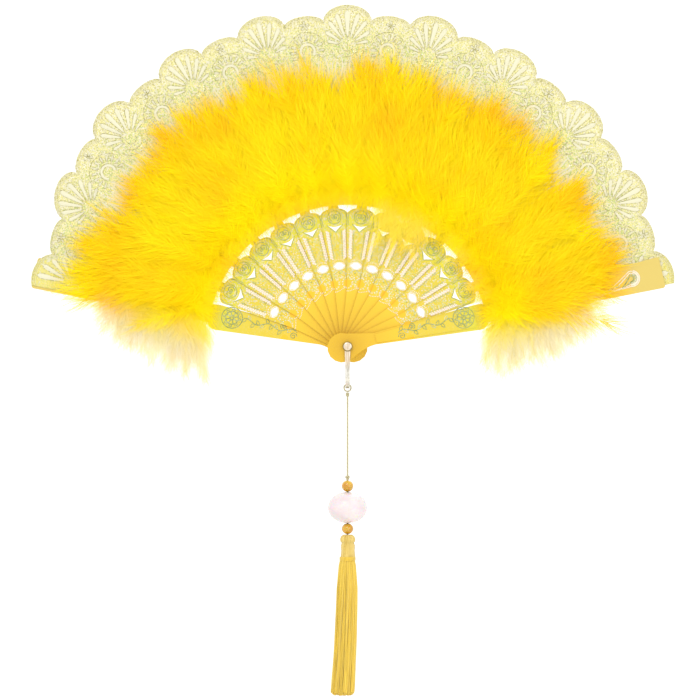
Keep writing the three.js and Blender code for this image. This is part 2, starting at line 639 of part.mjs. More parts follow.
// The knotted cap, a cup turned upside down over the top of the bundle.
function capGeometry() {
  const innerTop = TASSEL_TOP - CAP_WALL;
  const shoulder = TASSEL_TOP - CAP_CROWN;
  return turned([
    [CAP_RADIUS - CAP_WALL, CAP_BOTTOM],
    [CAP_RADIUS, CAP_BOTTOM],
    [CAP_RADIUS, shoulder],
    [CAP_RADIUS * CAP_EDGE_SHARE, TASSEL_TOP - CAP_CROWN * CAP_EDGE_DROP_SHARE],
    [CAP_RADIUS * CAP_TOP_SHARE, TASSEL_TOP],
    [BORE_RADIUS, TASSEL_TOP],
    [BORE_RADIUS, innerTop],
    [CAP_RADIUS * CAP_TOP_SHARE, innerTop],
    [CAP_RADIUS - CAP_WALL, shoulder - CAP_WALL],
    [CAP_RADIUS - CAP_WALL, CAP_BOTTOM],
  ]);
}

// The thread that is wound round the bundle under the cap.
function bindingGeometry() {
  const inner = BUNDLE_RADIUS + SEAT_GAP;
  const outer = CAP_RADIUS + BINDING_THICKNESS;
  const bottom = BINDING_TOP - BINDING_HEIGHT;
  const bulge = (BINDING_TOP + bottom) / 2;
  return turned([
    [inner, bottom],
    [CAP_RADIUS, bottom],
    [outer, bulge],
    [CAP_RADIUS, BINDING_TOP],
    [inner, BINDING_TOP],
    [inner, bottom],
  ]);
}

// Radius of the skirt as shares of its widest radius, at shares of its length.
const SKIRT_SHARES = [
  [0, 0.62],
  [0.1, 0.72],
  [0.35, 0.9],
  [0.7, 1],
  [0.97, 0.99],
  [1, 0.93],
];

// The bundle of silk threads: a round neck inside the cap, then a fluted skirt.
function skirtGeometry() {
  const points = 2 * SKIRT_FLUTES;
  const ring = (height, radius, depth) =>
    Array.from({ length: points }, (_, i) => {
      const angle = (2 * Math.PI * i) / points;
      const r = radius - (i % 2) * depth;
      return new THREE.Vector3(r * Math.cos(angle), r * Math.sin(angle), height);
    });
  const skirt = SKIRT_SHARES.map(([share, width]) =>
    ring(THREE.MathUtils.lerp(SKIRT_TOP, SKIRT_END, share), SKIRT_RADIUS * width, SKIRT_FLUTE_DEPTH),
  );
  const rings = [ring(BUNDLE_TOP, BUNDLE_RADIUS, 0), ring(SKIRT_TOP, BUNDLE_RADIUS, 0), ...skirt];
  return loft(rings.reverse());
}

// Assembly

const twoDigits = (number) => String(number).padStart(2, "0");

function stickName(stick) {
  if (stick === 0) return "rear_guard";
  if (stick === LAST) return "front_guard";
  return "rib_" + twoDigits(stick);
}

function buildFan() {
  const fan = new THREE.Group();
  const rib = ribGeometry();
  for (let stick = 0; stick < STICK_COUNT; stick++) {
    const arm = new THREE.Group();
    arm.rotation.y = -angleOf(stick);
    if (stick === 0 || stick === LAST) {
      arm.add(named(stickName(stick), guardGeometry(stick === 0 ? 1 : -1), plastic));
    } else {
      const mesh = named(stickName(stick), rib, plastic);
      mesh.position.y = levelOf(stick);
      arm.add(mesh);
    }
    const leaf = named("leaf_" + stickName(stick), leafSectionGeometry(stick), cloth);
    const puff = named("down_" + stickName(stick), puffGeometry(stick), down);
    leaf.position.y = levelOf(stick);
    puff.position.y = levelOf(stick);
    arm.add(leaf, puff);
    fan.add(arm);
  }
  return fan;
}

function buildPendant() {
  const pendant = new THREE.Group();
  pendant.add(
    named("rivet", rivetGeometry(), steel),
    named("bail", bailGeometry(), steel),
    named("cord_loop", cordLoopGeometry(), thread),
    named("cord_hitch", hitchGeometry(), thread),
    named("tassel_cord", cordGeometry(), thread),
    named("cord_knot", ballGeometry(UPPER_KNOT_RADIUS, 2 * UPPER_KNOT_RADIUS, KNOT_BOTTOM), thread),
    named("upper_bead", ballGeometry(SMALL_BEAD_RADIUS, UPPER_BEAD_HEIGHT, UPPER_BEAD_BOTTOM), amber),
    named("large_bead", largeBeadGeometry(), milky),
    named("lower_bead", ballGeometry(LOWER_BEAD_RADIUS, LOWER_BEAD_HEIGHT, LOWER_BEAD_BOTTOM), amber),
    named("tassel_cap", capGeometry(), thread),
    named("end_knot", ballGeometry(END_KNOT_RADIUS, END_KNOT_HEIGHT, CORD_END), thread),
    named("tassel_binding", bindingGeometry(), thread),
    named("tassel_skirt", skirtGeometry(), thread),
  );
  return pendant;
}

const root = new THREE.Group();
root.add(buildFan(), buildPendant());

export default root;
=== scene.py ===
"""A folding feather fan with a beaded tassel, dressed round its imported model.

Lengths are in metres, in the model's own frame: the rivet's axis runs along Y through the origin,
the open fan stands in the XZ plane, and its front looks along -Y.
"""

import math
import random

import bpy
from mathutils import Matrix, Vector


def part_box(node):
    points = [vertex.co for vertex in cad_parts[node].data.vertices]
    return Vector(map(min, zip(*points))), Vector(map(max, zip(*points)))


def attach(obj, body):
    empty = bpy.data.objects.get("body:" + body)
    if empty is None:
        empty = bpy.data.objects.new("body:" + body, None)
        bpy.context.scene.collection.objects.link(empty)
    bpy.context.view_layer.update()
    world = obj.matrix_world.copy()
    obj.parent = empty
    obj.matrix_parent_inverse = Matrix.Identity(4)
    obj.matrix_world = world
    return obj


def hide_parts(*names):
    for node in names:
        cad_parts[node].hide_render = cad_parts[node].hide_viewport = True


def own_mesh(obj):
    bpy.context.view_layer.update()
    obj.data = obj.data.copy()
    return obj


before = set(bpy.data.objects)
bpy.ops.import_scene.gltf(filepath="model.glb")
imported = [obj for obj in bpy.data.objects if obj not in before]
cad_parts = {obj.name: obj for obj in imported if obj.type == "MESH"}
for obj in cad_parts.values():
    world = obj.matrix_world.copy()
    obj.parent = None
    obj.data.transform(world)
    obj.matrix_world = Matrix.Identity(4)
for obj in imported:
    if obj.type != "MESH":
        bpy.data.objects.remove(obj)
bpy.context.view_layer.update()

MM = 0.001

# Seeds of the random draws
TASSEL_SEED = 77
LACE_SEED = 8
TRIM_SEED = 900
HANGING_SEED = 500
BARB_SEED_STEP = 50
PRINT_SEED = 41

# Sticks, counted from the rear guard at the left to the front guard at the right
STICKS = 14
LAST = STICKS - 1
CENTRE_RIB = 7  # the one that stays when the fan folds
SPREAD = math.radians(153.3)
STEP = SPREAD / LAST
PITCH = 1.2 * MM  # from one stick to the next, through the stack
RIB_THICKNESS = 0.9 * MM
BLADE_THICKNESS = 0.5 * MM
GUARD_INNER_FACE = 7.35 * MM
GUARD_OUTER_FACE = 9.15 * MM
GRIP_FACE = 9.65 * MM
FACING = (0, -1, 0)  # the way the fan's front looks

# Leaf
LEAF_THICKNESS = 0.3 * MM
LEAF_GLUE_GAP = 0.1 * MM
LEAF_INNER = 92 * MM
LEAF_WIDE = 222 * MM
LEAF_NARROW = 216.5 * MM
LEAF_VALLEY = 211.5 * MM
LEAF_PLEAT = 2.4 * MM
LEAF_END_LAP = math.radians(2.4)
LEAF_FLAT_SHARE = 0.375  # of the first and last gaps, where the leaf lies flat on its guard
SCALLOP_REPEAT = math.radians(15.4)
WIDE_HALF = math.radians(4.25)
DROOP_START = math.radians(50)
DROOP_FULL = math.radians(72)
REAR_DROOP = 11 * MM
FRONT_DROOP = 5 * MM


def stick_name(stick):
    return "rear_guard" if stick == 0 else "front_guard" if stick == LAST else f"rib_{stick:02d}"


def body_name(stick):
    return "centre_rib" if stick == CENTRE_RIB else stick_name(stick)


def angle_of(stick):
    return math.pi / 2 + SPREAD / 2 - stick * STEP


def level_of(stick):
    return (LAST / 2 - stick) * PITCH


def polar(radius, along, y):
    """A point at a radius, where along counts sticks from the rear guard."""
    a = angle_of(along)
    return Vector((radius * math.cos(a), y, radius * math.sin(a)))


def on_stick(stick, u, v, y):
    """A point u along a stick and v to its left, which is towards the rear guard."""
    a = angle_of(stick)
    return Vector((u * math.cos(a) - v * math.sin(a), y, u * math.sin(a) + v * math.cos(a)))


def lerp(a, b, share):
    return a + (b - a) * share


def clamp(value, low=0.0, high=1.0):
    return min(max(value, low), high)


def between(stops, place):
    """A value read between stops, each a place and its value."""
    for (a, low), (b, high) in zip(stops, stops[1:]):
        if place <= b:
            return lerp(low, high, (place - a) / (b - a))
    return stops[-1][1]


def leaf_level_at(stick):
    """Middle of the leaf's thickness where it is glued to a stick."""
    middle = LEAF_GLUE_GAP + LEAF_THICKNESS / 2
    if stick == 0:
        return GUARD_INNER_FACE - middle
    if stick == LAST:
        return -GUARD_INNER_FACE + middle
    return level_of(stick) + RIB_THICKNESS / 2 - BLADE_THICKNESS - middle


def pleat_span(gap):
    """Where the pleat in a gap starts and ends, as shares of the gap."""
    return (LEAF_FLAT_SHARE if gap == 0 else 0), (1 - LEAF_FLAT_SHARE if gap == LAST - 1 else 1)


def leaf_level(along, radius):
    """Middle of the leaf's thickness. Each gap holds one pleat, which rises towards the front."""
    gap = int(clamp(math.floor(along), 0, LAST - 1))
    start, end = pleat_span(gap)
    share = clamp((along - gap - start) / (end - start))
    ridge = LEAF_PLEAT * radius / LEAF_WIDE * (1 - abs(2 * share - 1))
    return lerp(leaf_level_at(gap), leaf_level_at(gap + 1), share) - ridge


def drawn_in(angle):
    """How far the leaf's edge is drawn in near its ends. The angle is from the fan's middle, to the right."""
    share = clamp((abs(angle) - DROOP_START) / (DROOP_FULL - DROOP_START))
    return (REAR_DROOP if angle < 0 else FRONT_DROOP) * share * share * (3 - 2 * share)


def leaf_edge(along):
    """Radius of the scalloped edge."""
    angle = along * STEP - SPREAD / 2
    off = abs(angle - round(angle / SCALLOP_REPEAT) * SCALLOP_REPEAT)
    if off < WIDE_HALF:
        top, share = LEAF_WIDE, off / WIDE_HALF
    else:
        top, share = LEAF_NARROW, (SCALLOP_REPEAT / 2 - off) / (SCALLOP_REPEAT / 2 - WIDE_HALF)
    return LEAF_VALLEY + (top - LEAF_VALLEY) * math.sqrt(max(0, 1 - share * share)) - drawn_in(angle)


# Nodes, materials and meshes

def feed(node, *inputs, **named):
    """Sets the inputs that a node has in use, in their order or by name. Each gets a value, an output, or a
    node whose first output in use feeds it."""
    sockets = [s for s in node.inputs if s.enabled]
    pairs = list(zip(sockets, inputs))
    for key, value in named.items():
        pairs.append((next(s for s in sockets if s.name == key.replace("_", " ")), value))
    for socket, value in pairs:
        if isinstance(value, bpy.types.Node):
            value = next(o for o in value.outputs if o.enabled)
        if isinstance(value, bpy.types.NodeSocket):
            node.id_data.links.new(value, socket)
        else:
            socket.default_value = value
    return node


def add(tree, kind, *inputs, stops=(), **named):
    """Adds a node. Names in small letters are its settings, the others are its inputs, and stops are the
    places and colours of a ramp."""
    made = tree.nodes.new(kind)
    for name in [n for n in named if n.islower()]:
        setattr(made, name, named.pop(name))
    if stops:
        elements = made.color_ramp.elements
        while len(elements) < len(stops):
            elements.new(0.5)
        for element, (place, colour) in zip(elements, stops):
            element.position = place
            element.color = linear(colour)
    return feed(made, *inputs, **named)


def linear(colour):
    """An sRGB hex colour as linear red, green, blue and alpha."""
    parts = [int(colour[i:i + 2], 16) / 255 for i in (1, 3, 5)]
    return [p / 12.92 if p <= 0.04045 else ((p + 0.055) / 1.055) ** 2.4 for p in parts] + [1]


def shader(name, **inputs):
    """A new material with its tree and its Principled shader."""
    material = bpy.data.materials.new(name)
    material.use_nodes = True
    principled = material.node_tree.nodes["Principled BSDF"]
    return material, material.node_tree, feed(principled, **inputs)


def mesh_object(name, verts, faces=(), edges=()):
    mesh = bpy.data.meshes.new(name)
    mesh.from_pydata([tuple(v) for v in verts], [tuple(e) for e in edges], [tuple(f) for f in faces])
    mesh.polygons.foreach_set("use_smooth", [True] * len(mesh.polygons))
    made = bpy.data.objects.new(name, mesh)
    bpy.context.scene.collection.objects.link(made)
    return made


def carry(made, **numbers):
    """Gives a mesh attributes, each a list with a number for every point."""
    for key, values in numbers.items():
        made.data.attributes.new(key, "FLOAT", "POINT").data.foreach_set("value", values)


def lines_object(lines):
    """Polylines as loose edges, and lone points. A line is its points with the numbers that they carry: each
    number is one for the whole line, or a list with one for each point."""
    verts, edges, carried = [], [], {}
    for points, numbers in lines:
        first = len(verts)
        verts += points
        edges += [(i, i + 1) for i in range(first, len(verts) - 1)]
        for key, value in numbers.items():
            carried.setdefault(key, []).extend(value if isinstance(value, list) else [value] * len(points))
    made = mesh_object("lines", verts, edges=edges)
    carry(made, **carried)
    return made


def new_tree(name, **sizes):
    """A Geometry Nodes tree with a geometry input and a named input for each size, and the sockets that give
    them."""
    tree = bpy.data.node_groups.new(name, "GeometryNodeTree")
    tree.interface.new_socket(name="Geometry", in_out="INPUT", socket_type="NodeSocketGeometry")
    for key, value in sizes.items():
        kind = "NodeSocketInt" if isinstance(value, int) else "NodeSocketFloat"
        tree.interface.new_socket(name=key, in_out="INPUT", socket_type=kind).default_value = value
    tree.interface.new_socket(name="Geometry", in_out="OUTPUT", socket_type="NodeSocketGeometry")
    return tree, add(tree, "NodeGroupInput").outputs


def end_tree(tree, geometry, material, smooth=True):
    """Makes the instances real, sets their shading and material, and joins that to the output."""
    real = add(tree, "GeometryNodeRealizeInstances", geometry)
    shaded = add(tree, "GeometryNodeSetShadeSmooth", Geometry=real, Shade_Smooth=smooth)
    dressed = add(tree, "GeometryNodeSetMaterial", Geometry=shaded, Material=material)
    add(tree, "NodeGroupOutput", dressed)
    return tree


def grow(name, source, tree, **sizes):
    """Runs a tree on the source, and gives the result as a plain mesh that takes the source's place."""
    modifier = source.modifiers.new("grow", "NODES")
    modifier.node_group = tree
    sockets = {s.name: s.identifier for s in tree.interface.items_tree if s.in_out == "INPUT"}
    for key, value in sizes.items():
        modifier[sockets[key]] = value
    graph = bpy.context.evaluated_depsgraph_get()
    mesh = bpy.data.meshes.new_from_object(source.evaluated_get(graph), depsgraph=graph)
    mesh.name = name
    made = bpy.data.objects.new(name, mesh)
    bpy.context.scene.collection.objects.link(made)
    bpy.data.objects.remove(source)
    return made


def settle(piece, body, slot, *nodes):
    """Puts a finished piece on its body, in place of the CAD nodes that it stands for."""
    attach(piece, body)
    if nodes:
        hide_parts(*nodes)
    return piece


# Camera, light and floor

VIEW_CENTRE = Vector((1.6, 0, -2.3)) * MM  # the middle of the photograph
VIEW_WIDTH = 455 * MM
VIEW_DISTANCE = 3.2
FLOOR_LEVEL = -266 * MM
FLOOR_RADIUS = 330 * MM
FLOOR_SIDES = 64
# Each lamp's place, its width in metres and its power in watts
LAMPS = {
    "key": ((-0.7, -1.8, 1.4), 1.3, 15),
    "fill": ((1.3, -1.6, 0.2), 1.6, 7),
    "rim": ((0.2, 1.3, 1.2), 1.0, 6),
}
ROOM_LIGHT = 1.2


def make_camera():
    data = bpy.data.cameras.new("camera")
    data.lens = data.sensor_width * VIEW_DISTANCE / VIEW_WIDTH
    camera = bpy.data.objects.new("camera", data)
    camera.location = VIEW_CENTRE - Vector((0, VIEW_DISTANCE, 0))
    camera.rotation_euler = (math.pi / 2, 0, 0)
    bpy.context.scene.collection.objects.link(camera)
    bpy.context.scene.camera = camera


def make_lamp(name, place, width, power):
    data = bpy.data.lights.new(name, "AREA")
    data.shape = "DISK"
    data.size = width
    data.energy = power
    lamp = bpy.data.objects.new(name, data)
    lamp.location = place
    lamp.rotation_euler = (-Vector(place)).to_track_quat("-Z", "Y").to_euler()
    bpy.context.scene.collection.objects.link(lamp)


def make_studio():
    """A white room of soft light with three large lamps, and a round matt floor."""
    bpy.context.scene.view_settings.view_transform = "Standard"
    world = bpy.data.worlds.new("studio")
    world.use_nodes = True
    feed(world.node_tree.nodes["Background"], Color=linear("#FFFFFF"), Strength=ROOM_LIGHT)
    bpy.context.scene.world = world
    for name, lamp in LAMPS.items():
        make_lamp(name, *lamp)
    turns = [math.tau * i / FLOOR_SIDES for i in range(FLOOR_SIDES)]
    rim = [Vector((FLOOR_RADIUS * math.cos(a), FLOOR_RADIUS * math.sin(a), FLOOR_LEVEL)) for a in turns]
    floor = mesh_object("floor", rim, [range(FLOOR_SIDES)])
    floor.data.materials.append(shader("pale_matt_paint", Base_Color=linear("#F4F3F0"), Roughness=0.8)[0])


make_camera()
make_studio()


# Trees that lay threads, foil, stitches, flakes and feathers

def thread_tree(name, material, radius, sides):
    """Round threads along the lines. The lines carry swell, which scales the radius."""
    tree, given = new_tree(name, Radius=radius)
    curve = add(tree, "GeometryNodeMeshToCurve", Mesh=given["Geometry"])
    profile = add(tree, "GeometryNodeCurvePrimitiveCircle", Resolution=sides, Radius=given["Radius"])
    swell = add(tree, "GeometryNodeInputNamedAttribute", Name="swell")
    tube = add(tree, "GeometryNodeCurveToMesh",
               Curve=curve, Profile_Curve=profile, Scale=swell, Fill_Caps=True)
    return end_tree(tree, tube, material)


def foil_tree(material):
    """Raised foil: lines along the edges, and low domes on the points that carry dot. Swell scales both."""
    tree, given = new_tree("foil_print", Line=0.21 * MM, Dot=0.4 * MM, Flatness=0.5)
    swell = add(tree, "GeometryNodeInputNamedAttribute", Name="swell")
    curve = add(tree, "GeometryNodeMeshToCurve", Mesh=given["Geometry"])
    profile = add(tree, "GeometryNodeCurvePrimitiveCircle", Resolution=5, Radius=given["Line"])
    lines = add(tree, "GeometryNodeCurveToMesh",
                Curve=curve, Profile_Curve=profile, Scale=swell, Fill_Caps=True)
    dome = add(tree, "GeometryNodeMeshIcoSphere", Radius=given["Dot"], Subdivisions=1)
    flat = add(tree, "ShaderNodeMath", swell, given["Flatness"], operation="MULTIPLY")
    size = add(tree, "ShaderNodeCombineXYZ", swell, flat, swell)
    chosen = add(tree, "GeometryNodeInputNamedAttribute", Name="dot", data_type="BOOLEAN")
    dots = add(tree, "GeometryNodeInstanceOnPoints",
               Points=given["Geometry"], Selection=chosen, Instance=dome, Scale=size)
    joined = add(tree, "GeometryNodeJoinGeometry")
    for part in (dots, lines):
        feed(joined, part)
    return end_tree(tree, joined, material)


def satin_tree(material):
    """Satin stitch: threads laid side by side across each line, as wide as the half that it carries."""
    tree, given = new_tree("satin_stitch", Spacing=0.6 * MM, Height=0.2 * MM)
    half = add(tree, "GeometryNodeInputNamedAttribute", Name="half")
    curve = add(tree, "GeometryNodeMeshToCurve", Mesh=given["Geometry"])
    points = add(tree, "GeometryNodeCurveToPoints", Curve=curve, Length=given["Spacing"], mode="LENGTH")
    along = points.outputs["Tangent"]
    across = add(tree, "ShaderNodeVectorMath", along, FACING, operation="CROSS_PRODUCT")
    turn = add(tree, "FunctionNodeAxesToRotation", Primary_Axis=across, Secondary_Axis=along,
               primary_axis="X", secondary_axis="Y")
    # One stitch, from side to side over its line, with its thread's ridge. It is scaled to its real size.
    arch = add(tree, "GeometryNodeCurveQuadraticBezier",
               Resolution=3, Start=(-1, 0, 0), Middle=(0, 0, 2), End=(1, 0, 0))
    ridge = add(tree, "GeometryNodeCurveQuadraticBezier",
                Resolution=2, Start=(-0.5, 0, 0), Middle=(0, -0.5, 0), End=(0.5, 0, 0))
    stitch = add(tree, "GeometryNodeCurveToMesh", Curve=arch, Profile_Curve=ridge)
    size = add(tree, "ShaderNodeCombineXYZ", half, given["Spacing"], given["Height"])
    stitches = add(tree, "GeometryNodeInstanceOnPoints",
                   Points=points.outputs["Points"], Instance=stitch, Rotation=turn, Scale=size)
    return end_tree(tree, stitches, material)


FLAKE_TILTS = (-0.5, -0.5, 0.0), (0.5, 0.5, 3.0)  # radians: how little and how much a flake is turned


def flake_tree(material):
    """Six-sided flakes of glitter, strewn over the faces as thickly as they carry sparkle, and tilted."""
    tree, given = new_tree("glitter_flakes",
                           Density=300000.0, Size=0.34 * MM, Smallest=0.5, Largest=1.2, Seed=1)
    seed = given["Seed"]
    sparkle = add(tree, "GeometryNodeInputNamedAttribute", Name="sparkle")
    density = add(tree, "ShaderNodeMath", sparkle, given["Density"], operation="MULTIPLY")
    strewn = add(tree, "GeometryNodeDistributePointsOnFaces",
                 Mesh=given["Geometry"], Density=density, Seed=seed)
    flake = add(tree, "GeometryNodeMeshCircle", Vertices=6, Radius=given["Size"], fill_type="NGON")
    tilt = add(tree, "FunctionNodeRandomValue", Min=FLAKE_TILTS[0], Max=FLAKE_TILTS[1], Seed=seed,
               data_type="FLOAT_VECTOR")
    tilted = add(tree, "FunctionNodeEulerToRotation", tilt)
    turn = add(tree, "FunctionNodeRotateRotation", strewn.outputs["Rotation"], tilted, rotation_space="LOCAL")
    scale, tone = (
        add(tree, "FunctionNodeRandomValue", Min=low, Max=high, Seed=seed, data_type="FLOAT")
        for low, high in ((given["Smallest"], given["Largest"]), (0.0, 1.0))
    )
    flakes = add(tree, "GeometryNodeInstanceOnPoints",
                 Points=strewn.outputs["Points"], Instance=flake, Rotation=turn, Scale=scale)
    toned = add(tree, "GeometryNodeStoreNamedAttribute",
                Geometry=flakes, Name="tone", Value=tone, domain="INSTANCE")
    return end_tree(tree, toned, material, smooth=False)


# What each barb draws for itself: the least, the most, and what is added to the tree's seed
BARB_DRAWS = {
    "lean": (-0.22, 0.22, 3.0),  # radians from what its place on the quill gives
    "lift": (-0.18, 0.36, 5.0),  # off the leaf, as a share of its length
    "roll": (-0.5, 0.5, 9.0),  # on itself
    "length": (0.65, 1.2, 7.0),  # of the full length
    "tone": (0.0, 1.0, 11.0),
}
# How long the barbs are at two places on a quill. They rise from nothing at its foot and are full at its tip.
BARB_FULLNESS = [(0.35, 1.0), (0.8, 0.85)]
BARB_MIDDLE, BARB_END = (0.5, 0.02, 0.03), (1, 0.3, -0.12)  # its curve, from (0, 0, 0)
BARB_TIP = 0.25  # its width at the tip, as a share of that at the foot
CURL_SCALE = 110.0  # waves to a metre, in which the barbs' loose ends wander
LOOSE_POWER = 1.4  # over 1 keeps a barb's foot still
# A pale quill is this pale at its foot, up to the first of two places on it, and fully pale from the second
PALE_AT_FOOT, PALE_FROM, PALE_FULL = 0.2, 0.2, 0.52
PALE_AT_QUILL = 0.6  # beside the ends of its barbs


def plume_tree(material):
    """Marabou: barbs on both sides of each quill, which stand off it at its foot and lie along it at its tip.
    A quill carries share, from foot to tip, grade, which scales its barbs, and fade, which pales them."""
    tree, given = new_tree("marabou_plumes", Spacing=0.36 * MM, Length=18 * MM, Width=0.23 * MM,
                           Frizz=2.2 * MM, Foot_lean=1.15, Tip_lean=0.42, Seed=1)
    curve = add(tree, "GeometryNodeMeshToCurve", Mesh=given["Geometry"])
    points = add(tree, "GeometryNodeCurveToPoints", Curve=curve, Length=given["Spacing"], mode="LENGTH")
    pairs = add(tree, "GeometryNodeDuplicateElements",
                Geometry=points.outputs["Points"], Amount=2, domain="POINT")
    side = add(tree, "ShaderNodeMath", pairs.outputs["Duplicate Index"], 2.0, -1.0, operation="MULTIPLY_ADD")
    aimed = add(tree, "GeometryNodeStoreNamedAttribute", Geometry=pairs, Name="heading",
                Value=points.outputs["Tangent"], data_type="FLOAT_VECTOR")
    sided = add(tree, "GeometryNodeStoreNamedAttribute", Geometry=aimed, Name="side", Value=side)

    # Where each barb aims, from its own draws and its place on the quill
    heading = add(tree, "GeometryNodeInputNamedAttribute", Name="heading", data_type="FLOAT_VECTOR")
    left_or_right, share, grade, fade, reach = (
        add(tree, "GeometryNodeInputNamedAttribute", Name=name)
        for name in ("side", "share", "grade", "fade", "reach")
    )
    drawn = {
        name: add(tree, "FunctionNodeRandomValue", Min=low, Max=high, data_type="FLOAT",
                  Seed=add(tree, "ShaderNodeMath", given["Seed"], extra, operation="ADD"))
        for name, (low, high, extra) in BARB_DRAWS.items()
    }
    lean_here = add(tree, "ShaderNodeMapRange",
                    Value=share, To_Min=given["Foot_lean"], To_Max=given["Tip_lean"])
    lean = add(tree, "ShaderNodeMath", lean_here, drawn["lean"], operation="ADD")
    sine = add(tree, "ShaderNodeMath", lean, operation="SINE")
    off_quill = add(tree, "ShaderNodeMath", sine, left_or_right, operation="MULTIPLY")
    along_quill = add(tree, "ShaderNodeMath", lean, operation="COSINE")
    across = add(tree, "ShaderNodeVectorMath", heading, FACING, operation="CROSS_PRODUCT")
    sideways = add(tree, "ShaderNodeVectorMath", across, off_quill, operation="SCALE")
    forwards = add(tree, "ShaderNodeVectorMath", heading, along_quill, operation="SCALE")
    raised = add(tree, "ShaderNodeVectorMath", FACING, drawn["lift"], operation="SCALE")
    flat_aim = add(tree, "ShaderNodeVectorMath", sideways, forwards, operation="ADD")
    aim = add(tree, "ShaderNodeVectorMath", flat_aim, raised, operation="ADD")
    twist = add(tree, "ShaderNodeVectorMath", FACING, drawn["roll"], operation="SCALE")
    rolled = add(tree, "ShaderNodeVectorMath", heading, twist, operation="ADD")
    turn = add(tree, "FunctionNodeAxesToRotation", Primary_Axis=aim, Secondary_Axis=rolled,
               primary_axis="X", secondary_axis="Y")
    fullness = add(tree, "ShaderNodeFloatCurve", Value=share)
    for place in BARB_FULLNESS:
        fullness.mapping.curves[0].points.new(*place)
    fullness.mapping.update()
    own_length = add(tree, "ShaderNodeMath", fullness, drawn["length"], operation="MULTIPLY")
    graded = add(tree, "ShaderNodeMath", given["Length"], grade, operation="MULTIPLY")
    size = add(tree, "ShaderNodeMath", own_length, graded, operation="MULTIPLY")

    # One barb is a curved ribbon of unit length, which tapers
    line = add(tree, "GeometryNodeCurveQuadraticBezier",
               Resolution=4, Start=(0, 0, 0), Middle=BARB_MIDDLE, End=BARB_END)
    marked = add(tree, "GeometryNodeStoreNamedAttribute",
                 Geometry=line, Name="reach", Value=add(tree, "GeometryNodeSplineParameter"))
    flat = add(tree, "GeometryNodeCurvePrimitiveLine", Start=(-0.5, 0, 0), End=(0.5, 0, 0))
    slenderness = add(tree, "ShaderNodeMath", given["Width"], given["Length"], operation="DIVIDE")
    taper = add(tree, "ShaderNodeMapRange", Value=reach, To_Min=1.0, To_Max=BARB_TIP)
    width = add(tree, "ShaderNodeMath", slenderness, taper, operation="MULTIPLY")
    barb = add(tree, "GeometryNodeCurveToMesh", Curve=marked, Profile_Curve=flat, Scale=width)
    barbs = add(tree, "GeometryNodeInstanceOnPoints", Points=sided, Instance=barb, Rotation=turn, Scale=size)
    toned = add(tree, "GeometryNodeStoreNamedAttribute",
                Geometry=barbs, Name="tone", Value=drawn["tone"], domain="INSTANCE")
    real = add(tree, "GeometryNodeRealizeInstances", toned)

    # The loose ends wander, each up to the frizz to either side
    waves = add(tree, "ShaderNodeTexNoise",
                Vector=add(tree, "GeometryNodeInputPosition"), Scale=CURL_SCALE, Detail=1.0)
    centred = add(tree, "ShaderNodeVectorMath", waves.outputs["Color"], (0.5, 0.5, 0.5), operation="SUBTRACT")
    looseness = add(tree, "ShaderNodeMath", reach, LOOSE_POWER, operation="POWER")
    frizz = add(tree, "ShaderNodeMath", given["Frizz"], 2.0, operation="MULTIPLY")
    wander = add(tree, "ShaderNodeMath", looseness, frizz, operation="MULTIPLY")
    offset = add(tree, "ShaderNodeVectorMath", centred, wander, operation="SCALE")
    frizzed = add(tree, "GeometryNodeSetPosition", Geometry=real, Offset=offset)

    # A pale quill pales from its foot to past its middle, and its barbs towards their ends
    out_barb = add(tree, "ShaderNodeMapRange", Value=reach, To_Min=PALE_AT_QUILL, To_Max=1.0)
    down_quill = add(tree, "ShaderNodeMapRange", Value=share, From_Min=PALE_FROM, From_Max=PALE_FULL,
                     To_Min=PALE_AT_FOOT)
    outer = add(tree, "ShaderNodeMath", out_barb, down_quill, operation="MULTIPLY")
    pale = add(tree, "ShaderNodeMath", fade, outer, operation="MULTIPLY")
    paled = add(tree, "GeometryNodeStoreNamedAttribute", Geometry=frizzed, Name="pale", Value=pale)
    return end_tree(tree, paled, material)


# Pendant

DRAWN_STRETCH = 0.12  # how much the marks of drawing are stretched along the strip, as 1 to this
DRAWN_MARK = 0.5 * MM
PAINTED_SHADE_RADIUS = 2.95 * MM  # a ring of painted shade in the crease round the rivet's head
PAINTED_SHADE_OUTER = 0.55 * MM  # the painted shade's half width, and the half that is full
PAINTED_SHADE_FULL = 0.25 * MM
BAIL_FREE_FROM = -9 * MM  # heights between which the bail leaves the gold sticks, and its painted reflection of them fades out
BAIL_FREE = -15 * MM

SILK_STRETCH = 0.05  # how much the painted sheen streaks are stretched along the threads, as 1 to this
SILK_STREAK = 1.5 * MM
SILK_SHEEN_SHARE = 0.5  # the share of the painted sheen streaks in the silk's colour, the rest being each thread's own tone
AMBER_CLOUD = 4 * MM
MILKY_CLOUD = 9 * MM

SILK_RADIUS = 0.27 * MM  # a strand of the loop, the windings and the knots
CORD_STRAND_RADIUS = 0.36 * MM
CORD_STRAND_OFF = 0.25 * MM  # from the cord's middle to its strands'
CORD_DIAMETER = 1 * MM
CORD_TURN = 2.6 * MM  # one full twist of the cord
CORD_STEPS = 9  # to a twist
CORD_SIDES = 7  # of each of its strands, and of the binding's
LOOP_STRAND_OFF = 0.22 * MM
LOOP_TWISTS = 6
LOOP_STEPS = 90
STRAND_TONES = (0.3, 0.5, 0.7)
COIL_TONE, CORE_TONE, KNOT_TONE = 0.4, 0.3, 0.5
HITCH_TURNS = 4.5
BINDING_TURNS = 5
BINDING_SINKS = 0.5 * MM  # how far the silk gives under its binding
WINDING_START = 0.3  # radians
WINDING_STEPS = 26  # to a turn
KNOT_STEPS = 60
KNOT_DEPTH = 0.6  # how much of its depth a knot keeps when it is pulled tight
KNOT_FILLS = 0.8  # of its node's box
KNOT_SWELL = 1.7  # of the cord, as one round line

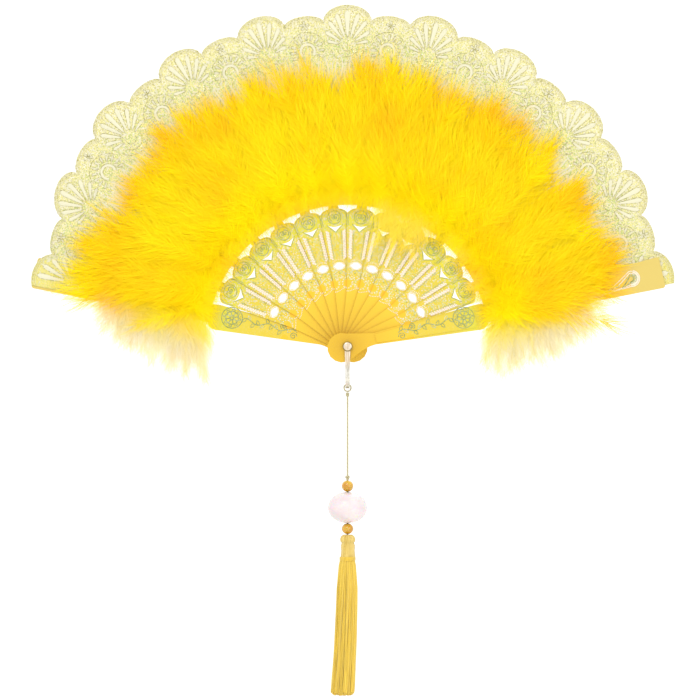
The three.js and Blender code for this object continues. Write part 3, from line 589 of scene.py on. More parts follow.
SKIRT_THREADS = 900
SKIRT_THREAD_RADIUS = 0.28 * MM
SKIRT_SIDES = 4
SKIRT_SWELLS = 0.8, 1.2  # how thin and how thick its threads are, to that radius
SKIRT_INSET = 0.3 * MM  # of the outermost thread's middle
SKIRT_CORE = 0.5  # the share of the skirt's section that is hollow
SKIRT_LEAN = 3.2 * MM  # how far its end swings to the left
SKIRT_SWAY = 0.16  # how far a thread turns about the middle, in radians
SKIRT_POINTS = 14
SKIRT_NARROWS = 0.03  # how far a thread draws in and out as it falls, as a share of its radius
SKIRT_WAVERS = 0.05  # how far it wavers about the middle, in radians
NARROWING_WAVE, WAVERING_WAVE = 7, 5  # radians of each of these waves down a thread
SKIRT_RAGGED = 1.2 * MM  # how unevenly the threads end
SKIRT_RIM_SHORT = 2.2 * MM  # how much sooner the outermost end
# The skirt's radius down its length, as shares. Its top is inside the cap.
SKIRT_SHAPE = [(0.0, 0.46), (0.09, 0.48), (0.13, 0.68), (0.3, 0.86), (0.5, 0.92), (0.7, 0.95), (0.97, 1.0),
               (1.0, 0.94)]

CAP_LOOPS = 150
CAP_THREAD_RADIUS = 0.3 * MM
CAP_SIDES = 5
CAP_SWELLS = 0.9, 1.15
CAP_UNEVEN = 0.02  # radians by which a loop is out of its place
CAP_LOBES = 3
CAP_HOLLOWS = 0.12  # how deep the hollows between the lobes are, as a share of the radius
# One loop of the cap, from its foot: how far down it is and its radius, as shares, and its lean in radians
CAP_LOOP = [(1.12, 1.0, 0.0), (0.75, 0.9, 0.05), (0.5, 0.93, 0.12), (0.36, 0.8, 0.2), (0.3, 0.98, 0.25),
            (0.18, 1.0, 0.3), (0.07, 0.86, 0.34), (0.01, 0.6, 0.38), (0.02, 0.3, 0.4)]

AMBER_BORE = 0.75 * MM
MILKY_BORE = 1.2 * MM
ROUND, SQUARED = 1.0, 0.9  # how the beads bulge
BEAD_ROWS = 28
BEAD_SIDES = 56
BORE_SHOWS = 0.15  # how deep the drilled wall goes, as a share of half the bead's height


def metal_material():
    """Nickel-plated steel, drawn and tumbled: bright, with soft marks along the strip, and a ring of painted
    brown shade in the crease round the rivet's head. Near the sticks it has a painted warm reflection of
    them."""
    material, tree, principled = shader("nickel_plated_steel", Metallic=1.0)
    place = add(tree, "ShaderNodeTexCoord").outputs["Object"]
    drawn = add(tree, "ShaderNodeMapping", Vector=place, Scale=(1, 1, DRAWN_STRETCH))
    marks = add(tree, "ShaderNodeTexNoise", Vector=drawn, Scale=1 / DRAWN_MARK, Detail=3.0)
    # Painted reflection: a warm ramp near the sticks stands in for the gold sticks reflected in the metal
    painted_warm_reflection = add(tree, "ShaderNodeValToRGB", marks,
               stops=((0.35, "#D0BC9C"), (0.55, "#E6D3BA"), (0.7, "#F4E8D9")))
    cool = add(tree, "ShaderNodeValToRGB", marks,
               stops=((0.35, "#BDB9AC"), (0.55, "#E3DFD2"), (0.7, "#F6F4EC")))
    height = add(tree, "ShaderNodeSeparateXYZ", place).outputs["Z"]
    free = add(tree, "ShaderNodeMapRange", Value=height, From_Min=BAIL_FREE_FROM, From_Max=BAIL_FREE)
    with_painted_reflection = add(tree, "ShaderNodeMix", free, painted_warm_reflection, cool, data_type="RGBA")
    # Painted shade: a brown ring in the crease round the rivet's head, where the bail's top lies in shadow
    flat = add(tree, "ShaderNodeVectorMath", place, (1, 0, 1), operation="MULTIPLY")
    radius = add(tree, "ShaderNodeVectorMath", flat, operation="LENGTH")
    off = add(tree, "ShaderNodeMath", radius, PAINTED_SHADE_RADIUS, operation="SUBTRACT")
    away = add(tree, "ShaderNodeMath", off, operation="ABSOLUTE")
    painted_shade = add(tree, "ShaderNodeMapRange", Value=away, From_Min=PAINTED_SHADE_OUTER, From_Max=PAINTED_SHADE_FULL)
    with_painted_shade = add(tree, "ShaderNodeMix", painted_shade, with_painted_reflection, linear("#8F7D4E"), data_type="RGBA")
    rough = add(tree, "ShaderNodeMapRange", Value=marks, To_Min=0.15, To_Max=0.4)
    feed(principled, Base_Color=with_painted_shade, Roughness=rough)
    return material


def silk_material(name, dark, middle, light):
    """Twisted rayon silk: each thread has its own tone, with painted streaks of sheen along its length, and
    it shines along its length.
    """
    material, tree, principled = shader(name, Roughness=0.45, Specular_IOR_Level=0.5, Sheen_Weight=0.3,
                                        Anisotropic=0.5)
    tone = add(tree, "ShaderNodeAttribute", attribute_name="tone").outputs["Fac"]
    place = add(tree, "ShaderNodeTexCoord").outputs["Object"]
    drawn = add(tree, "ShaderNodeMapping", Vector=place, Scale=(1, 1, SILK_STRETCH))
    # Painted sheen: streaks of lighter and darker colour stretched along the threads
    painted_sheen = add(tree, "ShaderNodeTexNoise", Vector=drawn, Scale=1 / SILK_STREAK, Detail=2.0)
    mixed = add(tree, "ShaderNodeMix", SILK_SHEEN_SHARE, tone, painted_sheen, data_type="FLOAT")
    ramp = add(tree, "ShaderNodeValToRGB", mixed, stops=((0.25, dark), (0.48, middle), (0.75, light)))
    feed(principled, Base_Color=ramp)
    return material


def amber_material():
    """Pressed resin, clear and honey-coloured, polished, with clouds inside it."""
    material, tree, principled = shader("polished_amber_resin", Roughness=0.12, IOR=1.54,
                                        Transmission_Weight=0.25, Subsurface_Weight=0.3,
                                        Subsurface_Scale=2 * MM, Coat_Weight=0.4, Coat_Roughness=0.08)
    place = add(tree, "ShaderNodeTexCoord").outputs["Object"]
    cloud = add(tree, "ShaderNodeTexNoise", Vector=place, Scale=1 / AMBER_CLOUD, Detail=3.0)
    ramp = add(tree, "ShaderNodeValToRGB", cloud,
               stops=((0.35, "#CC9014"), (0.52, "#DAA822"), (0.68, "#E4BE3E")))
    feed(principled, Base_Color=ramp)
    return material


def milk_material():
    """Milky acrylic with a breath of pink, tumbled to a soft polish, so light spreads inside it."""
    material, tree, principled = shader("milky_tumbled_acrylic", Roughness=0.3, IOR=1.49,
                                        Subsurface_Weight=0.5, Subsurface_Scale=4 * MM, Coat_Weight=0.15)
    place = add(tree, "ShaderNodeTexCoord").outputs["Object"]
    cloud = add(tree, "ShaderNodeTexNoise", Vector=place, Scale=1 / MILKY_CLOUD, Detail=3.0, Distortion=0.6)
    ramp = add(tree, "ShaderNodeValToRGB", cloud,
               stops=((0.35, "#D3C7C8"), (0.5, "#D8CDCE"), (0.65, "#DCD3D3")))
    feed(principled, Base_Color=ramp)
    return material


def centre_of(node):
    """The middle of a node's box, and its size."""
    low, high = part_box(node)
    return (Vector(low) + Vector(high)) / 2, Vector(high) - Vector(low)


def lay_silk(name, node, lines, tree, **sizes):
    """Silk laid along lines, in place of a node of the pendant."""
    return settle(grow(name, lines_object(lines), tree, **sizes), "tassel", "silk", node)


def helix(radius, low, high, turns, start, steps):
    """A coil about the Z axis, with that many steps to a turn."""
    count = max(2, round(turns * steps))
    return [Vector((radius * math.cos(start + math.tau * turns * i / count),
                    radius * math.sin(start + math.tau * turns * i / count), lerp(low, high, i / count)))
            for i in range(count + 1)]


def loop_strand(middle, radius, phase):
    """One strand of the twisted cord that closes in a ring."""
    line = []
    for i in range(LOOP_STEPS + 1):
        t, twist = math.tau * i / LOOP_STEPS, math.tau * (LOOP_TWISTS * i / LOOP_STEPS + phase)
        r = radius + LOOP_STRAND_OFF * math.cos(twist)
        line.append(middle + Vector((r * math.cos(t), LOOP_STRAND_OFF * math.sin(twist), r * math.sin(t))))
    return line


def trefoil(middle, size):
    """The line of a pulled overhand knot that fills a box of that size."""
    # On this curve x and z stay within 3 of the middle, and y within 1
    line = []
    for i in range(KNOT_STEPS + 1):
        t = math.tau * i / KNOT_STEPS
        x, y, z = math.sin(t) + 2 * math.sin(2 * t), -math.sin(3 * t), math.cos(t) - 2 * math.cos(2 * t)
        off = Vector((x / 6 * size.x, y / 2 * size.y * KNOT_DEPTH, z / 6 * size.z))
        line.append(middle + off * KNOT_FILLS)
    return line


def bead(name, node, bore, bulge, material, slot, body="tassel"):
    """A drilled bead, turned about the cord to fill its node's box. A bulge under 1 squares its flanks."""
    middle, size = centre_of(node)
    outer, half = size.x / 2, size.z / 2
    start = math.asin(clamp(bore / outer) ** (1 / bulge))
    profile = []
    for i in range(BEAD_ROWS + 1):
        a = lerp(start, math.pi - start, i / BEAD_ROWS)
        profile.append((outer * math.sin(a) ** bulge, half * math.cos(a) / math.cos(start)))
    profile += [(bore, profile[-1][1] + BORE_SHOWS * half), (bore, profile[0][1] - BORE_SHOWS * half)]
    turns = [math.tau * i / BEAD_SIDES for i in range(BEAD_SIDES)]
    verts = [Vector((r * math.cos(t), r * math.sin(t), z + middle.z)) for r, z in profile for t in turns]
    faces = []
    for i in range(len(profile)):
        k = (i + 1) % len(profile)
        for j in range(BEAD_SIDES):
            n = (j + 1) % BEAD_SIDES
            faces.append((i * BEAD_SIDES + j, k * BEAD_SIDES + j, k * BEAD_SIDES + n, i * BEAD_SIDES + n))
    made = mesh_object(name, verts, faces)
    made.data.materials.append(material)
    return settle(made, body, slot, node)


def skirt_threads(draw):
    """Threads of the skirt. They leave the cap together and spread, and each sways a little on its own."""
    low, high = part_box("tassel_skirt")
    top, bottom, radius = high[2], low[2], (high[0] - low[0]) / 2 - SKIRT_INSET
    lines = []
    for _ in range(SKIRT_THREADS):
        depth = math.sqrt(draw.uniform(SKIRT_CORE, 1.0))
        turn = draw.uniform(0, math.tau)
        sway, phase = draw.uniform(-SKIRT_SWAY, SKIRT_SWAY), draw.uniform(0, math.tau)
        end = bottom + SKIRT_RAGGED * draw.random() + SKIRT_RIM_SHORT * depth ** 8
        line = []
        for i in range(SKIRT_POINTS):
            share = i / (SKIRT_POINTS - 1)
            z = lerp(top, end, share)
            r = radius * between(SKIRT_SHAPE, (top - z) / (top - bottom)) * depth
            r *= 1 - SKIRT_NARROWS * (1 + math.sin(phase + NARROWING_WAVE * share))
            a = turn + sway * share + SKIRT_WAVERS * math.sin(phase + WAVERING_WAVE * share)
            line.append(Vector((r * math.cos(a) - SKIRT_LEAN * share * share, r * math.sin(a), z)))
        lines.append((line, {"swell": draw.uniform(*SKIRT_SWELLS), "tone": draw.random()}))
    return lines


def cap_threads(draw):
    """The tassel's head: silk loops that rise from the binding, roll over the top and go in by the cord."""
    low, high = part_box("tassel_cap")
    top, bottom = high[2] - CAP_THREAD_RADIUS, low[2]
    radius = (high[0] - low[0]) / 2 - CAP_THREAD_RADIUS
    lines = []
    for n in range(CAP_LOOPS):
        turn = math.tau * n / CAP_LOOPS + draw.uniform(-CAP_UNEVEN, CAP_UNEVEN)
        lobe = 1 - CAP_HOLLOWS * abs(math.sin(turn * CAP_LOBES / 2)) ** 3
        line = []
        for share, out, lean in CAP_LOOP:
            a = turn + lean * (1 if n % 2 else -1)
            r = radius * out * lobe
            line.append(Vector((r * math.cos(a), r * math.sin(a), lerp(top, bottom, share))))
        lines.append((line, {"swell": draw.uniform(*CAP_SWELLS), "tone": draw.random()}))
    return lines


def make_pendant():
    gold = silk_material("golden_rayon_silk", "#C4A42C", "#DCBA36", "#EACA4C")
    pale = silk_material("pale_gold_rayon_silk", "#C1A144", "#D2B559", "#DFC777")
    cord_silk = silk_material("cream_twisted_cord", "#9E956E", "#B6AC84", "#C9C09A")
    metal, amber, milk = metal_material(), amber_material(), milk_material()
    for node in ("rivet", "bail"):
        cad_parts[node].data.materials.clear()
        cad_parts[node].data.materials.append(metal)
    strand = thread_tree("cord_strands", cord_silk, SILK_RADIUS, CORD_SIDES)
    bound = thread_tree("binding_threads", gold, SILK_RADIUS, CORD_SIDES)
    skirt = thread_tree("skirt_threads", gold, SKIRT_THREAD_RADIUS, SKIRT_SIDES)
    cap = thread_tree("cap_threads", pale, CAP_THREAD_RADIUS, CAP_SIDES)

    # The cord, and the loop by which it hangs, are each three strands
    low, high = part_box("tassel_cord")
    top, bottom, count = high[2], low[2], len(STRAND_TONES)
    twists = (top - bottom) / CORD_TURN
    strands = [(helix(CORD_STRAND_OFF, top, bottom, twists, math.tau * n / count, CORD_STEPS),
                {"swell": 1.0, "tone": tone}) for n, tone in enumerate(STRAND_TONES)]
    cord = lay_silk("tassel_cord_twist", "tassel_cord", strands, strand, Radius=CORD_STRAND_RADIUS)
    middle, size = centre_of("cord_loop")
    strands = [(loop_strand(middle, size.x / 2 - CORD_DIAMETER / 2, n / count), {"swell": 1.0, "tone": tone})
               for n, tone in enumerate(STRAND_TONES)]
    pieces = [lay_silk("cord_loop_twist", "cord_loop", strands, strand)]

    # The whipping under the loop has the cord as its core, and the binding sinks in the silk
    for node, turns, tree, sinks in (("cord_hitch", HITCH_TURNS, strand, 0),
                                     ("tassel_binding", BINDING_TURNS, bound, BINDING_SINKS)):
        middle, size = centre_of(node)
        outer, half = size.x / 2 - SILK_RADIUS - sinks, size.z / 2 - SILK_RADIUS
        coil = helix(outer, middle.z - half, middle.z + half, turns, WINDING_START, WINDING_STEPS)
        lines = [(coil, {"swell": 1.0, "tone": COIL_TONE})]
        if node == "cord_hitch":
            core = [Vector((0, 0, middle.z + half)), Vector((0, 0, middle.z - half))]
            lines.append((core, {"swell": outer / SILK_RADIUS, "tone": CORE_TONE}))
        pieces.append(lay_silk(node + "_coil", node, lines, tree))
    for node in ("cord_knot", "end_knot"):
        knot = [(trefoil(*centre_of(node)), {"swell": KNOT_SWELL, "tone": KNOT_TONE})]
        pieces.append(lay_silk(node + "_tied", node, knot, strand))

    draw = random.Random(TASSEL_SEED)
    lay_silk("tassel_skirt_threads", "tassel_skirt", skirt_threads(draw), skirt)
    pieces.append(lay_silk("tassel_cap_loops", "tassel_cap", cap_threads(draw), cap))
    pieces.append(bead("upper_amber_bead", "upper_bead", AMBER_BORE, ROUND, amber, "amber"))
    pieces.append(bead("lower_amber_bead", "lower_bead", AMBER_BORE, ROUND, amber, "amber"))
    pieces.append(bead("milky_bead", "large_bead", MILKY_BORE, SQUARED, milk, "milky", "large_bead"))


make_pendant()


# Lace leaf

NET_CELL = 1.3 * MM  # the net is too fine to show, so it is drawn this coarse
NET_THREAD_EDGE, NET_HOLE_EDGE = 0.03, 0.22  # of a cell, from its border to the thread's edge and the hole's
STITCH_CELL = 0.62 * MM  # its filling stitches
STITCH_SHARE = 0.5  # of those cells hold one
NET_RELIEF = 0.12 * MM
LUREX_GLINT = 1.1 * MM
GLINTS_FROM = 212 * MM  # radii between which the filling turns from plain thread to glittering thread
GLINTS_FULL = 196 * MM
LEAF_COLUMNS = 44
LEAF_ROWS = 26
ROWS_CROWD = 0.8  # under 1 sets the rows closer near the edge
GUARD_TIP_HALF = 9.5 * MM
GUARD_BLUR = 1 * MM
NET_SHOWS = 0.5  # how much of the guard's colour comes through the net
DOWN_SHOWS = 0.8
DOWN_INSET = 6  # mm inside the quills' ends, where the down's colour begins
DOWN_BLUR = 10  # mm

# Petals of the lace: tilt in radians, distance from the motif's centre, length and half width in mm
WIDE_PETALS = [(t * 0.33, 5.5, length, half) for t, length, half in (
    (0, 17.5, 1.9), (-1, 16.5, 1.65), (1, 16.5, 1.65), (-2, 14.5, 1.5), (2, 14.5, 1.5), (-3.05, 11.5, 1.35),
    (3.05, 11.5, 1.35), (-4.1, 8, 1.1), (4.1, 8, 1.1))]
SHELL_PETALS = [(t * 0.4, 7.0, 4.0, 0.8) for t in range(-5, 6)]
FLOWER_PETALS = [(t * math.tau / 5, 0.6, 2.5, 0.7) for t in range(5)]
PETAL_STITCH = 1.2 * MM
PETAL_FEWEST = 4  # stitches
PETAL_FOOT = 0.3  # its width at the foot, as a share of its full width
PETAL_LEAST = 0.02  # keeps some width at a petal's ends
OUTLINE_STEPS = 9
OUTLINE_OFF = 0.2 * MM  # from the satin's edge to the middle of its outline
WIDE_CENTRE = 195.5 * MM
SHELL_CENTRE = 193.5 * MM
FLOWER_CENTRE = 210 * MM
# Arcs under the wide motif, in mm, and half the angle that each spans
WIDE_ARCS = (3.6, 7.4, 11.0)
WIDE_ARC_TURN = 1.3
ARCH_RADIUS = 4.6 * MM
ARCH_HALF = 0.8 * MM
ARCH_TURN = 2.2
SHELL_RIM = 12.4 * MM
SHELL_RIM_TURN = 1.3
# Little leaves of satin along the motifs' feet: how many to a scallop, their radius and how far it varies,
# how far they curl in radians, the length between their points and the half width at each
FOOT_LEAVES = 26
FOOT_RADIUS = 168 * MM
FOOT_VARIES = 5 * MM
FOOT_WAVE = 2.4  # radians of that variation from one leaf to the next
FOOT_CURL = 0.004
FOOT_STEP = 3.2 * MM
FOOT_HALVES = [0.15 * MM, 0.4 * MM, 0.55 * MM, 0.55 * MM, 0.4 * MM, 0.15 * MM]
# Seed stitches: how many to a scallop, the least radius and the least distance from the edge, half the length
# and half the width
SEEDS = 90
SEEDS_INNER = 180 * MM
SEEDS_MARGIN = 3.5 * MM
SEED_REACH = 0.9 * MM
SEED_HALF = 0.32 * MM
EDGE_STEPS = 1400
EDGE_CORD_EVERY = 3  # steps
EDGE_INSET = 2.9 * MM
PICOT_INSET = 1.25 * MM
PICOT_SPACING = 2.3 * MM
PICOT_RADIUS = 0.85 * MM
PICOT_STEPS = 8
PICOT_SWELL = 0.8
ARC_SWELL = 1.1
ARCH_STEPS = 18
WIDE_ARC_STEPS = 10
SHELL_RIM_STEPS = 14
EDGE_TONE = 0.2  # the edge is worked in a lighter thread
LACE_END = SPREAD / 2 + LEAF_END_LAP - 0.004  # radians from the fan's middle to the last stitch

SATIN_LIFT = 0.02 * MM
LUREX_LIFT = 0.1 * MM
LUREX_RADIUS = 0.17 * MM
LUREX_SIDES = 4
GLITTER_LIFT = 0.06 * MM
GLITTER_COLUMNS = 12
GLITTER_RADII = [168, 178, 186, 194, 202, 210]  # mm
GLITTER_GONE = 212  # mm
GLITTER_RISES, GLITTER_FADES = 10, 20  # mm, at its inner and outer edge
GLITTER_MARGIN = 0.02  # of a stick's step, beside the ridges


def lace_material():
    """Polyester lace on a stiff cream net, with matt filling stitches, some of them of glittering thread."""
    material, tree, principled = shader("cream_polyester_lace_net", Roughness=0.72, Specular_IOR_Level=0.3,
                                        Sheen_Weight=0.15)
    place = add(tree, "ShaderNodeTexCoord").outputs["UV"]
    net = add(tree, "ShaderNodeTexVoronoi", Vector=place, Scale=1 / NET_CELL, feature="DISTANCE_TO_EDGE",
              voronoi_dimensions="2D")
    hole = add(tree, "ShaderNodeMapRange", Value=net, From_Min=NET_THREAD_EDGE, From_Max=NET_HOLE_EDGE)
    fine = add(tree, "ShaderNodeTexVoronoi", Vector=place, Scale=1 / STITCH_CELL, voronoi_dimensions="2D")
    speck = add(tree, "ShaderNodeSeparateColor", fine.outputs["Color"]).outputs
    radius = add(tree, "ShaderNodeSeparateXYZ", place).outputs["Y"]
    low = add(tree, "ShaderNodeMapRange", Value=radius, From_Min=GLINTS_FROM, From_Max=GLINTS_FULL)
    chosen = add(tree, "ShaderNodeMath", speck["Red"], 1 - STITCH_SHARE, operation="GREATER_THAN")
    glints = add(tree, "ShaderNodeValToRGB", speck["Green"],
                 stops=((0.0, "#A5B460"), (0.4, "#BDC682"), (0.6, "#AAA47C"), (0.85, "#D8CDB2")))
    stitches = add(tree, "ShaderNodeValToRGB", speck["Green"],
                   stops=((0.0, "#AEA46C"), (0.3, "#C4BB84"), (0.55, "#D8D2AE"), (0.9, "#E0DAC6")))
    marks = add(tree, "ShaderNodeMix", low, stitches, glints, data_type="RGBA")
    ground = add(tree, "ShaderNodeMix", hole, linear("#DCD7A4"), linear("#CFC77C"), data_type="RGBA")
    dressed = add(tree, "ShaderNodeMix", chosen, ground, marks, data_type="RGBA")
    # The net lets some of the guard behind it through, and takes the colour of the down that is sewn on it
    guard = add(tree, "ShaderNodeAttribute", attribute_name="backed").outputs["Fac"]
    down = add(tree, "ShaderNodeAttribute", attribute_name="trimmed").outputs["Fac"]
    backed = add(tree, "ShaderNodeMix", guard, dressed, linear("#D2C64E"), data_type="RGBA")
    trimmed = add(tree, "ShaderNodeMix", down, backed, linear("#F8DC1E"), data_type="RGBA")
    bump = add(tree, "ShaderNodeBump", Strength=0.5, Distance=NET_RELIEF, Height=hole, invert=True)
    feed(principled, Base_Color=trimmed, Normal=bump)
    return material


def satin_material():
    """Rayon floss in satin stitch: white, with the gloss of threads laid side by side."""
    return shader("white_rayon_satin_stitch", Base_Color=linear("#D4D0B2"), Roughness=0.42,
                  Specular_IOR_Level=0.55, Sheen_Weight=0.3)[0]


def lurex_material():
    """Lurex thread: a dull gilt film round a core, with painted glints that break it into light and dark
    along its length.
    """
    material, tree, principled = shader("gilt_lurex_thread", Metallic=0.35, Roughness=0.5)
    place = add(tree, "ShaderNodeTexCoord").outputs["Object"]
    # Painted glints: light and dark spots along the thread
    glint = add(tree, "ShaderNodeTexNoise", Vector=place, Scale=1 / LUREX_GLINT, Detail=1.0)
    tone = add(tree, "ShaderNodeAttribute", attribute_name="tone").outputs["Fac"]
    toned = add(tree, "ShaderNodeMath", glint, tone, operation="ADD")
    ramp = add(tree, "ShaderNodeValToRGB", toned,
               stops=((0.36, "#9C9660"), (0.5, "#BDB67E"), (0.64, "#E0DBB4")))
    feed(principled, Base_Color=ramp)
    return material


def glitter_material():
    """Cut foil flakes, some green-gold and some silver, each as bright as its own tilt makes it."""
    material, tree, principled = shader("cut_foil_glitter", Metallic=0.55, Roughness=0.3)
    tone = add(tree, "ShaderNodeAttribute", attribute_name="tone").outputs["Fac"]
    ramp = add(tree, "ShaderNodeValToRGB", tone,
               stops=((0.0, "#B3C253"), (0.35, "#D6D985"), (0.6, "#C3C3AB"), (0.85, "#F3EAD1")))
    feed(principled, Base_Color=ramp)
    return material


def along_at(angle):
    """The place round the fan, counted in sticks, of an angle measured from its middle, to the right."""
    return (angle + SPREAD / 2) / STEP


def section(stick):
    """Where a stick's part of the leaf starts and ends, from ridge to ridge, counted in sticks."""
    lap = LEAF_END_LAP / STEP
    start = -lap if stick == 0 else stick - 1 + sum(pleat_span(stick - 1)) / 2
    end = LAST + lap if stick == LAST else stick + sum(pleat_span(stick)) / 2
    return start, end


def make_cloth(stick, material):
    """A closed cloth of the leaf's own thickness, with its length round the fan and its radius as UV."""
    start, end = section(stick)
    verts, uvs, backed, trimmed = [], [], [], []
    guard = angle_of(0 if stick < LAST / 2 else LAST)
    alongs = [lerp(start, end, i / LEAF_COLUMNS) for i in range(LEAF_COLUMNS + 1)]
    for face in (-1, 1):
        for along in alongs:
            for j in range(LEAF_ROWS + 1):
                radius = lerp(LEAF_INNER, leaf_edge(along), (j / LEAF_ROWS) ** ROWS_CROWD)
                verts.append(polar(radius, along, leaf_level(along, radius) + face * LEAF_THICKNESS / 2))
                uvs.append((along * STEP * LEAF_VALLEY, radius))
                off_guard = abs(radius * math.sin(angle_of(along) - guard))
                backed.append(NET_SHOWS * clamp((GUARD_TIP_HALF - off_guard) / GUARD_BLUR + 0.5))
                inside = between(TRIM_ENDS, along) - DOWN_INSET - radius / MM
                trimmed.append(DOWN_SHOWS * clamp(inside / DOWN_BLUR))
    row, side = LEAF_ROWS + 1, (LEAF_COLUMNS + 1) * (LEAF_ROWS + 1)
    faces = []
    for i in range(LEAF_COLUMNS):
        for j in range(LEAF_ROWS):
            a = i * row + j
            faces.append((a, a + 1, a + row + 1, a + row))
            faces.append((side + a, side + a + row, side + a + row + 1, side + a + 1))
    rim = [i * row for i in range(LEAF_COLUMNS + 1)]
    rim += [LEAF_COLUMNS * row + j for j in range(1, row)]
    rim += [i * row + LEAF_ROWS for i in range(LEAF_COLUMNS - 1, -1, -1)]
    rim += list(range(LEAF_ROWS - 1, 0, -1))
    for a, b in zip(rim, rim[1:] + rim[:1]):
        faces.append((a, b, side + b, side + a))
    cloth = mesh_object("leaf_" + stick_name(stick) + "_cloth", verts, faces)
    layer = cloth.data.uv_layers.new(name="lace")
    for loop in cloth.data.loops:
        layer.data[loop.index].uv = uvs[loop.vertex_index]
    carry(cloth, backed=backed, trimmed=trimmed)
    cloth.data.materials.append(material)
    return cloth


def on_leaf(angle, radius, lift):
    """A point lifted off the leaf's front. The angle is measured from the fan's middle, to the right."""
    along = along_at(angle)
    return polar(radius, along, leaf_level(along, radius) - (LEAF_THICKNESS / 2 + lift))


def motif_point(angle, radius, across, out):
    """A point of a motif: across to the right of its centre and out from it."""
    return angle + math.atan2(across, radius + out), math.hypot(across, radius + out)


def fits(line):
    """Whether a line of the lace ends before the leaf does."""
    return max(abs(a) for a, _ in line) < LACE_END


def sort_by_stick(lines):
    """Cuts the leaf's lines where they cross a ridge. A line is (angle, radius) points and its numbers."""
    parts = {stick: [] for stick in range(STICKS)}
    ridges = [section(stick)[1] for stick in range(LAST)]
    for points, numbers in lines:
        owners = [sum(along_at(a) > ridge for ridge in ridges) for a, _ in points]
        start = 0
        for i in range(1, len(points) + 1):
            if i == len(points) or owners[i] != owners[start]:
                last = min(i + 1, len(points))
                cut = {k: (v[start:last] if isinstance(v, list) else v) for k, v in numbers.items()}
                if last - start > 1:
                    parts[owners[start]].append((points[start:last], cut))
                start = i
    return parts


def petal_half(share, half, least=0):
    """Half the width of a teardrop at a share of its length. It is widest near its outer end."""
    return half * lerp(PETAL_FOOT, 1, share) * math.sqrt(max(least, 1 - (2 * share - 1) ** 6))


def petal(angle, radius, tilt, start, length, half):
    """A teardrop's centre line, with its half width at each point."""
    points, halves = [], []
    steps = max(PETAL_FEWEST, round(length / PETAL_STITCH))
    for i in range(steps + 1):
        d = start + i / steps * length
        points.append(motif_point(angle, radius, math.sin(tilt) * d, math.cos(tilt) * d))
        halves.append(petal_half(i / steps, half, PETAL_LEAST))
    return points, halves


def petal_outline(angle, radius, tilt, start, length, half):
    """The teardrop's edge as one closed line."""
    line = []
    for turn in (-1, 1):
        for i in range(OUTLINE_STEPS + 1):
            s = i / OUTLINE_STEPS if turn < 0 else 1 - i / OUTLINE_STEPS
            d = start + s * length
            off = turn * (petal_half(s, half) + OUTLINE_OFF)
            across = math.sin(tilt) * d + math.cos(tilt) * off
            out = math.cos(tilt) * d - math.sin(tilt) * off
            line.append(motif_point(angle, radius, across, out))
    return closed(line)


def closed(points):
    return points + points[:1]


def arc_line(angle, radius, size, turn, steps, middle=0.0):
    """An arc about a motif's centre, whose middle points out from it."""
    turns = [middle + lerp(-turn, turn, i / steps) for i in range(steps + 1)]
    return [motif_point(angle, radius, size * math.sin(t), size * math.cos(t)) for t in turns]


def edge_lines():
    """A row of picots along the scalloped edge, and the cord that they hang from."""
    picots, cord, gone, before = [], [], 0.0, None
    for i in range(EDGE_STEPS + 1):
        angle = lerp(-LACE_END, LACE_END, i / EDGE_STEPS)
        edge = leaf_edge(along_at(angle))
        here = Vector((angle * edge, edge))
        gone += (here - before).length if before is not None else 0
        before = here
        if i % EDGE_CORD_EVERY == 0:
            cord.append((angle, edge - EDGE_INSET))
        if gone >= PICOT_SPACING:
            gone -= PICOT_SPACING
            picot = arc_line(angle, edge - PICOT_INSET, PICOT_RADIUS, math.pi, PICOT_STEPS)
            picots.append((picot, {"swell": PICOT_SWELL, "tone": EDGE_TONE}))
    return picots + [(cord, {"swell": 1.0, "tone": EDGE_TONE})]


def foot_leaves(wide):
    """The little leaves that stand along the feet of the motifs."""
    lines = []
    for n in range(FOOT_LEAVES):
        angle = wide + (n / FOOT_LEAVES - 0.5) * SCALLOP_REPEAT
        foot = FOOT_RADIUS + FOOT_VARIES * math.sin(n * FOOT_WAVE)
        if abs(angle) < LACE_END:
            line = [(angle + FOOT_CURL * math.sin(n + s), foot + s * FOOT_STEP)
                    for s in range(len(FOOT_HALVES))]
            lines.append((line, {"half": FOOT_HALVES}))
    return lines


def seed_stitches(wide, draw):
    """Single stitches at all angles, scattered between the motifs."""
    lines = []
    for _ in range(SEEDS):
        angle = wide + draw.uniform(-0.5, 0.5) * SCALLOP_REPEAT
        edge = leaf_edge(along_at(angle))
        radius, heading = draw.uniform(SEEDS_INNER, edge - SEEDS_MARGIN), draw.uniform(0, math.pi)
        line = [motif_point(angle, radius, s * SEED_REACH * math.sin(heading),
                            s * SEED_REACH * math.cos(heading)) for s in (-1, 0, 1)]
        if fits(line):
            lines.append((line, {"half": SEED_HALF}))
    return lines


